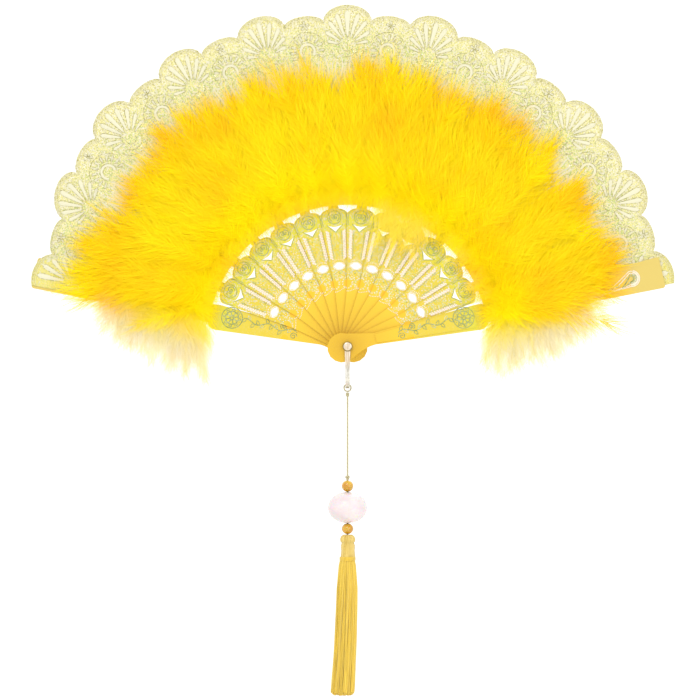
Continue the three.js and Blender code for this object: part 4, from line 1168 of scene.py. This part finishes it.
def lace_lines():
    """The embroidery: what is sewn in satin, which is petals, arches, leaves and seed stitches, and what is
    laid in lurex, which is outlines, arcs and the edge."""
    draw = random.Random(LACE_SEED)
    satin, lurex = [], []

    def sew(angle, radius, petals):
        for tilt, start, length, half in petals:
            shape = (angle, radius - drawn_in(angle), tilt, start * MM, length * MM, half * MM)
            points, halves = petal(*shape)
            if fits(points):
                satin.append((points, {"half": halves}))
                lurex.append((petal_outline(*shape), {"swell": 1.0, "tone": 0.0}))

    def lay_arc(angle, radius, *shape):
        line = arc_line(angle, radius - drawn_in(angle), *shape)
        if fits(line):
            lurex.append((line, {"swell": ARC_SWELL, "tone": 0.0}))

    repeats = math.ceil((SPREAD / 2 + LEAF_END_LAP) / SCALLOP_REPEAT)
    for k in range(-repeats, repeats + 1):
        wide, narrow = k * SCALLOP_REPEAT, (k + 0.5) * SCALLOP_REPEAT
        sew(wide, WIDE_CENTRE, WIDE_PETALS)
        sew(narrow, SHELL_CENTRE, SHELL_PETALS)
        sew(narrow, FLOWER_CENTRE, FLOWER_PETALS)
        for arc in WIDE_ARCS:
            lay_arc(wide, WIDE_CENTRE, arc * MM, WIDE_ARC_TURN, WIDE_ARC_STEPS, math.pi)
        arch = arc_line(narrow, SHELL_CENTRE - drawn_in(narrow), ARCH_RADIUS, ARCH_TURN, ARCH_STEPS)
        if fits(arch):
            satin.append((arch, {"half": ARCH_HALF}))
        for off in (-ARCH_HALF - OUTLINE_OFF, ARCH_HALF + OUTLINE_OFF):
            lay_arc(narrow, SHELL_CENTRE, ARCH_RADIUS + off, ARCH_TURN, ARCH_STEPS)
        lay_arc(narrow, SHELL_CENTRE, SHELL_RIM, SHELL_RIM_TURN, SHELL_RIM_STEPS)
        satin += foot_leaves(wide) + seed_stitches(wide, draw)
    return satin, lurex + edge_lines()


def make_glitter(stick, tree):
    """Flakes on a copy of the leaf's front, thickest under the petals and gone near the edge."""
    start, end = section(stick)
    verts, faces, sparkle = [], [], []
    for i in range(GLITTER_COLUMNS + 1):
        along = lerp(start + GLITTER_MARGIN, end - GLITTER_MARGIN, i / GLITTER_COLUMNS)
        for radius in GLITTER_RADII:
            place = radius * MM - drawn_in(along * STEP - SPREAD / 2)
            verts.append(polar(place, along, leaf_level(along, place) - LEAF_THICKNESS / 2 - GLITTER_LIFT))
            rise = clamp((radius - GLITTER_RADII[0]) / GLITTER_RISES)
            sparkle.append(clamp((GLITTER_GONE - radius) / GLITTER_FADES) * rise)
    rows = len(GLITTER_RADII)
    for i in range(GLITTER_COLUMNS):
        for j in range(rows - 1):
            a = i * rows + j
            faces.append((a, a + 1, a + rows + 1, a + rows))
    ground = mesh_object("glitter_ground", verts, faces)
    carry(ground, sparkle=sparkle)
    return grow("leaf_" + stick_name(stick) + "_glitter", ground, tree, Seed=stick)


def make_leaves():
    net = lace_material()
    sew = satin_tree(satin_material())
    lay = thread_tree("laid_lurex", lurex_material(), LUREX_RADIUS, LUREX_SIDES)
    strew = flake_tree(glitter_material())
    satin, lurex = (sort_by_stick(lines) for lines in lace_lines())
    for stick in range(STICKS):
        name = "leaf_" + stick_name(stick)
        cloth = make_cloth(stick, net)
        pieces = [cloth, make_glitter(stick, strew)]
        for label, lines, tree, lift in (("satin", satin, sew, SATIN_LIFT),
                                         ("cords", lurex, lay, LUREX_LIFT)):
            placed = [([on_leaf(a, r, lift) for a, r in points], numbers) for points, numbers in lines[stick]]
            pieces.append(grow(f"{name}_{label}", lines_object(placed), tree))
        for piece in pieces:
            settle(piece, body_name(stick), "lace", name)
            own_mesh(piece)


# Feather trim

# How far out the quills end, in mm, at places round the fan counted in sticks. They stand in tufts, and draw
# in beside the rear guard and over the front guard's outer edge.
TRIM_ENDS = [(-1, 191), (0.5, 191), (1.1, 185), (1.6, 167), (2.0, 186), (2.6, 173), (3.2, 191), (3.9, 188),
             (4.6, 177), (5.3, 191), (6.4, 177), (7.3, 191), (8.3, 178), (8.9, 190), (9.8, 181), (10.7, 187),
             (11.4, 183), (11.8, 189), (12.4, 188), (12.8, 184), (13.4, 164), (14, 160)]
TRIM_FRINGE = 17  # mm by which some quills end sooner
# Rows of plumes on each stick, from the underneath row: how many, the radius in mm where they start and how
# far that varies, their length and their height over the leaf in mm, their scale, and whether they point
# at the rivet
PLUME_ROWS = [
    (5, 146, 7, 42, 1.5, 0.95, False),
    (5, 130, 6, 46, 3.0, 1.0, False),
    (5, 114, 5, 48, 5.0, 1.0, False),
    (7, 100, 3, 44, 7.0, 0.9, False),
    (9, 97, 2, 20, 2.0, 0.5, False),
    (9, 108, 2, 14, 3.0, 0.55, True),
    (8, 104, 2, 10, 6.0, 0.5, True),
    (3, 156, 6, 38, 3.5, 0.9, False),
]
# Wisps that stray over the pierced plates: the stick, how many, the length in mm and the scale
STRAYS = {
    4: (3, 15, 0.4),
    8: (15, 34, 0.55),
    9: (20, 28, 0.55),
    10: (4, 14, 0.45),
    11: (4, 16, 0.45),
    12: (4, 16, 0.45),
}
# Rows of plumes that hang below a guard: how many, where they start along it and how far inside its middle,
# the length of the first and last, all in mm, their scale, and how pale the first and last are
HANGING_ROWS = [
    (26, 97, 158, 6, 25, 17, 0.72, 0.0, 0.3),
    (29, 96, 157, 2, 31, 19, 0.68, 0.45, 0.85),
    (31, 95, 156, -3, 34, 20, 0.62, 0.95, 1.0),
    (24, 95, 150, -5, 36, 23, 0.58, 1.0, 1.0),
]
TRIM_REAR_END, TRIM_FRONT_END = -0.06, 0.3  # how far the trim goes past the guards' middles, in sticks
QUILL_PLACES = 0.1, 0.9  # where a quill may start in its share of a row
SHORTEST_QUILL = 6 * MM
QUILL_POINTS = 7
QUILL_TURNS = 0.3  # radians by which a quill's heading varies
QUILL_BENDS = 0.4  # radians by which it bends
QUILL_LENGTHS = 0.88, 1.1  # of its row's length, from the shortest
QUILL_GRADES = 0.85, 1.1  # of its row's scale
QUILL_ARCH_FROM = 0.15  # how far along its arch a quill starts
STRAY_TURNS = 0.5
STRAY_FROM = 102, 108  # mm from the rivet
STRAY_LIFTS = 2, 6  # mm off the leaf
STRAY_LENGTHS = 0.6, 1.1
HANGING_SPREAD = 0.45  # radians by which the quills at the far end lean outwards
HANGING_TURNS = 0.22
HANGING_BENDS = 0.2
HANGING_LENGTHS = 0.8, 1.08
HANGING_VARIES = 2  # mm by which they start above or below their row
HANGING_LEVELS = -2, 1  # mm by which they start before or behind their level
HANGING_OFF_GUARD, HANGING_OFF_LEAF = 2 * MM, 3 * MM  # that level, before the front guard and before the leaf
TRIM_ARCH = 2.2 * MM  # how far a quill of the trim arches off the leaf
HANGING_ARCH = 1.5 * MM
TRIM_FADE = 0.02  # how pale a quill of the trim is, and a wisp
STRAY_FADE = 0.15
DYE_PATCHES = 30.0  # to a metre
DYE_PATCH_SHARE = 0.86  # of the colour's unevenness, the rest being each barb's own tone
DYE_RIM = 0.11  # how much deeper the dye is at the trim's outer rim
DYE_RIM_FROM = 145 * MM
DYE_RIM_FULL = 182 * MM


def down_material():
    """Dyed marabou down. Light soaks through its fine barbs, so it looks bright and has no gloss. The dye
    took unevenly, barb by barb and in patches, and is deepest towards the trim's outer rim."""
    material, tree, principled = shader("dyed_marabou_down", Roughness=0.9, Specular_IOR_Level=0.0)
    tone = add(tree, "ShaderNodeAttribute", attribute_name="tone").outputs["Fac"]
    pale = add(tree, "ShaderNodeAttribute", attribute_name="pale").outputs["Fac"]
    place = add(tree, "ShaderNodeTexCoord").outputs["Object"]
    patch = add(tree, "ShaderNodeTexNoise", Vector=place, Scale=DYE_PATCHES, Detail=2.0)
    mixed = add(tree, "ShaderNodeMix", DYE_PATCH_SHARE, tone, patch, data_type="FLOAT")
    flat = add(tree, "ShaderNodeVectorMath", place, (1, 0, 1), operation="MULTIPLY")
    radius = add(tree, "ShaderNodeVectorMath", flat, operation="LENGTH")
    rim = add(tree, "ShaderNodeMapRange",
              Value=radius, From_Min=DYE_RIM_FROM, From_Max=DYE_RIM_FULL, To_Max=DYE_RIM)
    dyed = add(tree, "ShaderNodeMath", mixed, rim, operation="SUBTRACT")
    ramp = add(tree, "ShaderNodeValToRGB", dyed,
               stops=((0.24, "#FFD012"), (0.38, "#FFDC08"), (0.5, "#FFE506"), (0.64, "#FFEB08")))
    faded = add(tree, "ShaderNodeMix", pale, ramp, linear("#F3EDD8"), data_type="RGBA")
    feed(principled, Base_Color=faded)
    return material


def quill(start, heading, length, bend, arch, grade, fade):
    """A quill that bends sideways in the fan's plane and arches off the leaf, with what it carries."""
    line, shares, step = [start], [0.0], length / (QUILL_POINTS - 1)
    for i in range(1, QUILL_POINTS):
        share = i / (QUILL_POINTS - 1)
        turned = heading + bend * share
        line.append(line[-1] + Vector((math.cos(turned), 0, math.sin(turned))) * step)
        shares.append(share)
    points = [p + Vector(FACING) * arch * math.sin(math.pi * lerp(QUILL_ARCH_FROM, 1, s))
              for p, s in zip(line, shares)]
    return points, {"share": shares, "grade": grade, "fade": fade}


def trim_quills(stick):
    """The quills on one stick's part of the leaf, and the wisps that stray from it over the plates."""
    draw = random.Random(TRIM_SEED + stick)
    low = TRIM_REAR_END if stick == 0 else -0.5
    high = TRIM_FRONT_END if stick == LAST else 0.5
    quills = []
    for count, start, vary, length, lift, grade, inwards in PLUME_ROWS:
        for n in range(count):
            along = stick + lerp(low, high, (n + draw.uniform(*QUILL_PLACES)) / count)
            radius = (start + draw.uniform(-vary, vary)) * MM
            front = -GUARD_OUTER_FACE if stick == LAST else leaf_level(along, radius)
            heading = angle_of(along) + draw.uniform(-QUILL_TURNS, QUILL_TURNS)
            if inwards:
                heading += math.pi + draw.uniform(-QUILL_TURNS, QUILL_TURNS)
            reach = length * MM * draw.uniform(*QUILL_LENGTHS)
            if not inwards:
                end = between(TRIM_ENDS, along) - TRIM_FRINGE * draw.random() ** 1.3
                reach = min(reach, end * MM - radius)
            if reach < SHORTEST_QUILL:
                continue
            place, bend = polar(radius, along, front - lift * MM), draw.uniform(-QUILL_BENDS, QUILL_BENDS)
            own_grade = grade * draw.uniform(*QUILL_GRADES)
            quills.append(quill(place, heading, reach, bend, TRIM_ARCH, own_grade, TRIM_FADE))
    count, length, grade = STRAYS.get(stick, (0, 0, 0))
    for _ in range(count):
        along = stick + draw.uniform(-0.5, 0.5)
        heading = angle_of(along) + math.pi + draw.uniform(-STRAY_TURNS, STRAY_TURNS)
        radius = draw.uniform(*STRAY_FROM) * MM
        place = polar(radius, along, leaf_level(along, radius) - draw.uniform(*STRAY_LIFTS) * MM)
        reach, bend = length * MM * draw.uniform(*STRAY_LENGTHS), draw.uniform(-QUILL_BENDS, QUILL_BENDS)
        quills.append(quill(place, heading, reach, bend, TRIM_ARCH, grade, STRAY_FADE))
    return quills


def hanging_quills(stick):
    """The quills that hang below a guard. Those near the rivet are the longest, and the lowest the palest."""
    draw = random.Random(HANGING_SEED + stick)
    side = 1 if stick == 0 else -1
    level = -GUARD_OUTER_FACE - HANGING_OFF_GUARD if stick == LAST else leaf_level_at(0) - HANGING_OFF_LEAF
    quills = []
    for count, first, last, inside, longest, shortest, grade, near, far in HANGING_ROWS:
        for n in range(count):
            share = (n + draw.uniform(*QUILL_PLACES)) / count
            u, off = lerp(first, last, share) * MM, draw.uniform(-HANGING_VARIES, HANGING_VARIES)
            y = level + draw.uniform(*HANGING_LEVELS) * MM
            place = on_stick(stick, u, -side * (inside + off) * MM, y)
            outwards = lerp(0.0, HANGING_SPREAD, share ** 1.5) + draw.uniform(-HANGING_TURNS, HANGING_TURNS)
            heading = -math.pi / 2 - side * outwards
            length = lerp(longest, shortest, share * share) * MM * draw.uniform(*HANGING_LENGTHS)
            bend = draw.uniform(-HANGING_BENDS, HANGING_BENDS)
            own_grade, fade = grade * draw.uniform(*QUILL_GRADES), lerp(near, far, share)
            quills.append(quill(place, heading, length, bend, HANGING_ARCH, own_grade, fade))
    return quills


def make_trim():
    tree = plume_tree(down_material())
    for stick in range(STICKS):
        quills = trim_quills(stick)
        if stick in (0, LAST):
            quills += hanging_quills(stick)
        name = "down_" + stick_name(stick)
        down = grow(name + "_plumes", lines_object(quills), tree, Seed=stick * BARB_SEED_STEP)
        settle(down, body_name(stick), "feather", name)
        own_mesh(down)


# The lace takes the colour of the down that hides it, so both are made here
make_leaves()
make_trim()


# Moulded sticks and their foil print

GLITTER_GRAIN = 0.7 * MM
GLITTER_SHOWS = 0.68  # grains whose own number is over this
FOIL_SPOT = 1.6 * MM
FOIL_WEAR = 0.9  # how much the spots change the foil's tone
COLOUR_REACH = 200 * MM  # the radius that is 1 in the sticks' colours
PATCH_RADIUS = 41.3 * MM  # the round golden patches, one over each gap
PATCH_HALF = 2.75 * MM
PATCH_FULL = 0.8  # of that half
PRINT_RELIEF = 0.05 * MM
FEW_GRAINS = 0.15  # how much of the glitter is on the guards
# From the rivet to the blades, beyond each stick's own head and neck
PLASTIC_STOPS = ((0.18, "#DDB82B"), (0.21, "#D2B732"), (0.36, "#D0BB38"), (0.415, "#CEC630"),
                 (0.47, "#DDBD2E"), (0.6, "#DDB22B"), (0.91, "#DAB338"), (0.96, "#CBB45E"))
PRINTED_BAND = ((0.0, "#000000"), (0.185, "#000000"), (0.2, "#FFFFFF"), (0.44, "#FFFFFF"), (0.47, "#000000"))

# Foil tones, and places on a stick in mm from the rivet
GREEN, SILVER, PEARL = 0.2, 0.5, 0.85
FAN_AT = 37.2  # a fan of pearls at the neck
COLLAR_AT = 47.9  # a ring of pearls between the patches and the eye
EYE_AT = 52.6
PLATE_LAP = 0.35  # how far a plate reaches past the middle of the gap beside it
SLOT_FROM = 57.3
SLOT_PEARLS = 11
SLOT_PEARL_SIZE = 2.15
SLOT_PLACE = 0.68  # of half the plate's width
SLOT_HALF = 0.58
PEARL_STEP = 1.72
SLOT_LINE = (57.5, 63, 69, 75)
SLOT_LINE_OFF = 1.7
SPECKS = 60
SPECKS_BETWEEN = 57.6, 74.4
SPECKS_OFF = 2.0
SPECK_SIZES = 0.4, 0.8
SHOULDER_AT = 84.3  # the rosette on the plate's shoulder
EYE_STEPS = 18
SPIRAL_STEPS = 14  # to a turn
PRINTED_LEAF_STEPS = 7  # on each side
VINE_POINTS = 24
VINE_FROM = 34
VINE_STEP = 1.5
VINE_OFF = 1.2  # to the left
VINE_SWING = 1.3
VINE_WAVE = 0.62  # radians from one point to the next
GRIP_ROSETTE = (77.5, 0.8)  # on a guard: mm from the rivet, and to the left
TIP_DROP = (188.6, 0.3)
DROP_STEPS = 10  # on each side
DROP_HEAD = 4.9
DROP_TAIL = 21
DROP_TAIL_OFF = -5.2  # its tail's place to the left
# Strokes on the left half of a rib's plate: their points, tone and width
RIB_STROKES = [
    ([(79.6, 5.3), (77.8, 3.6), (76.1, 1.8), (74.6, 0)], GREEN, 1.0),
    ([(50.0, 0.5), (47.6, 3.6), (44.2, 3.4)], SILVER, 1.0),
    ([(78.6, 7.6), (82.6, 8.2), (86, 8), (88.2, 6.4), (89.2, 4.2)], GREEN, 1.0),
]
# Strokes of the drop's tail on a guard, and the crescents in its head: their radius, tone and width
TIP_STROKES = [
    ([(168, -5.6), (172, -5.4), (177, -4.9), (182, -4.4)], PEARL, 2.8),
    ([(171, -4.1), (176, -3.2), (181, -2.4)], GREEN + 0.2, 3.0),
]
TIP_CRESCENTS = [(4.1, PEARL, 3.6), (2.9, SILVER, 2.6), (5.2, PEARL, 2.0)]
CRESCENT_OFF = 0.7  # from the drop's middle to theirs, towards the tip


def plastic_material(name, glitter, head, neck):
    """Moulded polystyrene, golden and glossy, with glitter printed over a band of it. Its colour runs from
    amber at the rivet to lemon in that band, which leaves a round golden patch over each gap. glitter is from
    0 to 1, and head and neck are the colours at the rivet and beside it."""
    material, tree, principled = shader(name, IOR=1.59, Specular_IOR_Level=0.3)
    place = add(tree, "ShaderNodeTexCoord").outputs["Object"]
    axes = add(tree, "ShaderNodeSeparateXYZ", place).outputs
    flat = add(tree, "ShaderNodeCombineXYZ", X=axes["X"], Z=axes["Z"])
    radius = add(tree, "ShaderNodeVectorMath", flat, operation="LENGTH")
    reach = add(tree, "ShaderNodeMath", radius, COLOUR_REACH, operation="DIVIDE")
    ramp = add(tree, "ShaderNodeValToRGB", reach, stops=((0.0, head), (0.07, neck)) + PLASTIC_STOPS)
    # Patches: the distance from the middle of the nearest gap, round the fan and along it
    angle = add(tree, "ShaderNodeMath", axes["X"], axes["Z"], operation="ARCTAN2")
    along = add(tree, "ShaderNodeMath", angle, 1 / STEP, LAST / 2, operation="MULTIPLY_ADD")
    share = add(tree, "ShaderNodeMath", along, operation="FRACT")
    off = add(tree, "ShaderNodeMath", share, 0.5, operation="SUBTRACT")
    round_fan = add(tree, "ShaderNodeMath", off, STEP * PATCH_RADIUS, operation="MULTIPLY")
    out = add(tree, "ShaderNodeMath", radius, PATCH_RADIUS, operation="SUBTRACT")
    both = add(tree, "ShaderNodeCombineXYZ", round_fan, out)
    apart = add(tree, "ShaderNodeVectorMath", both, operation="LENGTH")
    patch = add(tree, "ShaderNodeMapRange",
                Value=apart, From_Min=PATCH_HALF, From_Max=PATCH_HALF * PATCH_FULL)
    patched = add(tree, "ShaderNodeMix", patch, ramp, linear("#E3B521"), data_type="RGBA")
    # Glitter shows in the printed band, but not on the patches
    grains = add(tree, "ShaderNodeTexVoronoi", Vector=place, Scale=1 / GLITTER_GRAIN)
    grain = add(tree, "ShaderNodeSeparateColor", grains.outputs["Color"]).outputs
    band = add(tree, "ShaderNodeValToRGB", reach, stops=PRINTED_BAND)
    bright = add(tree, "ShaderNodeMath", grain["Red"], GLITTER_SHOWS, operation="GREATER_THAN")
    in_band = add(tree, "ShaderNodeMath", bright, band, operation="MULTIPLY")
    strewn = add(tree, "ShaderNodeMath", in_band, glitter, operation="MULTIPLY")
    not_patch = add(tree, "ShaderNodeMath", 1.0, patch, operation="SUBTRACT")
    sparkle = add(tree, "ShaderNodeMath", strewn, not_patch, operation="MULTIPLY")
    glint = add(tree, "ShaderNodeValToRGB", grain["Green"],
                stops=((0.0, "#B8B948"), (0.4, "#CBC67A"), (0.7, "#D8CAAA"), (1.0, "#BEBD90")))
    glittered = add(tree, "ShaderNodeMix", sparkle, patched, glint, data_type="RGBA")
    rough = add(tree, "ShaderNodeMapRange", Value=grain["Blue"], To_Min=0.28, To_Max=0.4)
    bump = add(tree, "ShaderNodeBump", Strength=0.3, Distance=PRINT_RELIEF, Height=sparkle)
    feed(principled, Base_Color=glittered, Roughness=rough, Normal=bump)
    return material


def foil_material():
    """Hot-stamped foil, worn in spots. Its tone runs from grey-green through silver to a pink pearl."""
    material, tree, principled = shader("hot_stamped_foil", Metallic=0.3, Roughness=0.35)
    tone = add(tree, "ShaderNodeAttribute", attribute_name="tone").outputs["Fac"]
    place = add(tree, "ShaderNodeTexCoord").outputs["Object"]
    worn = add(tree, "ShaderNodeTexNoise", Vector=place, Scale=1 / FOIL_SPOT, Detail=2.0)
    shifted = add(tree, "ShaderNodeMath", worn, 0.5, operation="SUBTRACT")
    mixed = add(tree, "ShaderNodeMath", shifted, FOIL_WEAR, tone, operation="MULTIPLY_ADD")
    ramp = add(tree, "ShaderNodeValToRGB", mixed,
               stops=((0.0, "#7B8956"), (0.3, "#A1AB74"), (0.55, "#C6CAA8"), (0.8, "#EBDFC6"),
                      (1.0, "#EFD8C3")))
    feed(principled, Base_Color=ramp)
    return material


def half_plate(u):
    """Half the width of a rib's plate, in mm."""
    return u * math.tan(STEP / 2) + PLATE_LAP


def ring(u, v, radius, count, start=0.0, turn=math.tau):
    """Points on a circle, or an arc with both ends, in mm. The angle is from the stick's own direction."""
    return [(u + radius * math.cos(start + turn * i / count), v + radius * math.sin(start + turn * i / count))
            for i in range(count + (turn != math.tau))]


def spiral(u, v, first, last, turns, start=0.0, hand=1):
    """Points on a spiral, from its first radius to its last, in mm. hand is 1 or -1."""
    count = round(SPIRAL_STEPS * turns)
    return [(u + lerp(first, last, i / count) * math.cos(start + hand * math.tau * turns * i / count),
             v + lerp(first, last, i / count) * math.sin(start + hand * math.tau * turns * i / count))
            for i in range(count + 1)]


def leaf_shape(u, v, direction, length, half):
    """A pointed leaf or a petal as a closed line."""
    line = []
    for turn in (1, -1):
        for i in range(PRINTED_LEAF_STEPS):
            s = i / PRINTED_LEAF_STEPS if turn > 0 else 1 - i / PRINTED_LEAF_STEPS
            off = turn * half * math.sin(math.pi * s ** 0.8)
            line.append((u + math.cos(direction) * s * length - math.sin(direction) * off,
                         v + math.sin(direction) * s * length + math.cos(direction) * off))
    return closed(line)


def rib_print():
    """Foil on a rib: lines, each its points in mm along the rib and to its left, its tone and its width, and
    dots, each its place, tone and size."""
    draw = random.Random(PRINT_SEED)
    lines, dots = [], []
    for side in (-1, 1):
        # Pearls down both sides of the slot, and a line inside it
        for n in range(SLOT_PEARLS):
            for off, shift in ((-SLOT_HALF, 0.0), (SLOT_HALF, PEARL_STEP / 2)):
                u = SLOT_FROM + PEARL_STEP * n + shift
                dots.append((u, side * (SLOT_PLACE * half_plate(u) + off), PEARL, SLOT_PEARL_SIZE))
        inner = [(u, side * (SLOT_PLACE * half_plate(u) - SLOT_LINE_OFF)) for u in SLOT_LINE]
        lines.append((inner, GREEN + 0.15, 0.9))
        lines.append((spiral(SHOULDER_AT, side * 1.0, 0.25, 2.5, 1.4, 0.4 * side, side), GREEN, 1.2))
        lines += [([(u, side * v) for u, v in points], tone, width) for points, tone, width in RIB_STROKES]
        # Pearls round the half patch at the plate's edge
        at = PATCH_RADIUS / MM
        half_ring = ring(at, side * half_plate(at), 3.7, 5, -side * (math.pi / 2 + 1.15), side * 2.3)
        dots += [(u, v, PEARL, 1.15) for u, v in half_ring]
    turns = [math.tau * i / EYE_STEPS for i in range(EYE_STEPS)]
    lines += [
        (closed([(EYE_AT + 2.35 * math.sin(a), 3.75 * math.cos(a)) for a in turns]), PEARL, 1.9),
        (closed(ring(SHOULDER_AT, 0, 4.3, 22)), GREEN, 1.25),
        (ring(SHOULDER_AT, 0, 5.6, 16, -1.9, 3.8), SILVER, 1.0),
    ]
    dots += [(u, v, PEARL, 1.0) for u, v in ring(COLLAR_AT, 0, 2.9, 10)]
    dots += [(u, v, PEARL, 1.1) for u, v in ring(EYE_AT, 0, 4.3, 6, -0.85, 1.7)]
    dots.append((COLLAR_AT, 0, GREEN, 1.1))
    dots += [(FAN_AT + 1.3 * math.cos(math.pi * n / 8), half_plate(FAN_AT) * (n / 8 - 0.5) * 1.9, PEARL, 1.0)
             for n in range(9)]
    # Specks between the two slots
    for _ in range(SPECKS):
        u = draw.uniform(*SPECKS_BETWEEN)
        v = draw.uniform(-1, 1) * (SLOT_PLACE * half_plate(u) - SPECKS_OFF)
        dots.append((u, v, draw.choice((GREEN, SILVER, SILVER, PEARL)), draw.uniform(*SPECK_SIZES)))
    return lines, dots


def drop(size):
    """The outline of a curled drop at a guard's tip, whose tail runs along the guard's outer edge."""
    at, middle = TIP_DROP
    upper, lower = [], []
    for i in range(DROP_STEPS + 1):
        s = i / DROP_STEPS
        spine, half = lerp(DROP_TAIL_OFF, middle, s ** 1.4), DROP_HEAD * size * s ** 1.3
        upper.append((lerp(at - DROP_TAIL * size, at, s), spine + half))
        lower.append((lerp(at - DROP_TAIL * size, at, s), spine - half))
    turns = [math.pi * i / DROP_STEPS for i in range(1, DROP_STEPS)]
    head = [(at + DROP_HEAD * size * math.sin(t), middle + DROP_HEAD * size * math.cos(t)) for t in turns]
    return closed(upper + head + lower[::-1])


def grip_print():
    """Foil on a guard's grip, as the rib's: a vine, and a rosette on the end of the grip."""
    stem = [(VINE_FROM + VINE_STEP * n, VINE_SWING * math.sin(n * VINE_WAVE) + VINE_OFF)
            for n in range(VINE_POINTS)]
    lines = [(stem, GREEN, 1.35)]
    for n in range(1, VINE_POINTS, 2):
        side = 1 if n % 4 == 1 else -1
        lines.append((leaf_shape(*stem[n], side * 1.0, 3.4, 0.9), GREEN if n % 3 else SILVER, 1.1))
    lines.append((spiral(36, -1.6, 0.4, 2.4, 1.5), GREEN, 1.3))
    lines.append((spiral(43.5, 3.2, 0.4, 2.2, 1.5, 2.0, -1), GREEN, 1.2))
    at, left = GRIP_ROSETTE
    lines += [(closed(ring(at, left, radius, 28)), GREEN, 1.4) for radius in (6.8, 4.2)]
    lines += [(leaf_shape(at + 1.2 * math.cos(a), left + 1.2 * math.sin(a), a, 5.0, 1.15), 0.3, 1.2)
              for a in (math.tau * i / 8 for i in range(8))]
    lines.append((spiral(at, left, 0.3, 1.7, 1.3), GREEN, 1.2))
    return lines, [(u, v, 0.3, 0.9) for u, v in ring(at, left, 5.5, 18)]


def tip_print():
    """Foil on a guard's tip, as the rib's: a paisley drop drawn three times, its crescents and its tail."""
    at, left = TIP_DROP
    lines = [(drop(size), PEARL if size > 0.5 else GREEN, 1.6) for size in (1.0, 0.74, 0.4)]
    turns = [lerp(-1.9, 1.2, i / 14) for i in range(15)]
    for radius, tone, width in TIP_CRESCENTS:
        crescent = [(at + CRESCENT_OFF + radius * math.cos(t), left + radius * math.sin(t)) for t in turns]
        lines.append((crescent, tone, width))
    lines += TIP_STROKES
    dots = [(u, v, SILVER, 1.2) for u, v in ring(at, left, 2.7, 9)]
    return lines, dots + [(176 + 2.4 * n, -0.9 + 0.5 * n, SILVER, 1.2) for n in range(4)]


def lay_print(stick, level, pattern, tree, name, mirror=1):
    """Places a pattern on a stick's face, and stands its foil on that level."""
    lines, dots = pattern
    laid = [([on_stick(stick, u * MM, mirror * v * MM, level) for u, v in points],
             {"tone": tone, "swell": swell, "dot": 0.0}) for points, tone, swell in lines]
    laid += [([on_stick(stick, u * MM, mirror * v * MM, level)], {"tone": tone, "swell": size, "dot": 1.0})
             for u, v, tone, size in dots]
    return settle(grow(name, lines_object(laid), tree), body_name(stick), "plastic")


def make_sticks():
    ribs = plastic_material("moulded_glitter_polystyrene", 1.0, "#C69A20", "#D3AA25")
    front = plastic_material("moulded_polystyrene", FEW_GRAINS, "#C69A20", "#D3AA25")
    # The rear guard's head and neck are painted lighter: painted light that lifts the shade the front guard's
    # head casts on them
    rear = plastic_material("rear_polystyrene_painted_light_head", FEW_GRAINS, "#E8C038", "#DEB630")
    tree = foil_tree(foil_material())
    for stick in range(STICKS):
        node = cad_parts[stick_name(stick)]
        node.data.materials.clear()
        node.data.materials.append(rear if stick == 0 else front if stick == LAST else ribs)
    on_rib, grip, tip = rib_print(), grip_print(), tip_print()
    for stick in range(1, LAST):
        lay_print(stick, level_of(stick) - RIB_THICKNESS / 2, on_rib, tree, stick_name(stick) + "_print")
    lay_print(LAST, -GRIP_FACE, grip, tree, "front_guard_grip_print")
    lay_print(LAST, -GUARD_OUTER_FACE, tip, tree, "front_guard_tip_print")
    lay_print(0, GUARD_INNER_FACE, grip, tree, "rear_guard_inner_print", -1)
    lay_print(0, GRIP_FACE, grip, tree, "rear_guard_grip_print", -1)
    lay_print(0, GUARD_OUTER_FACE, tip, tree, "rear_guard_tip_print", -1)


make_sticks()
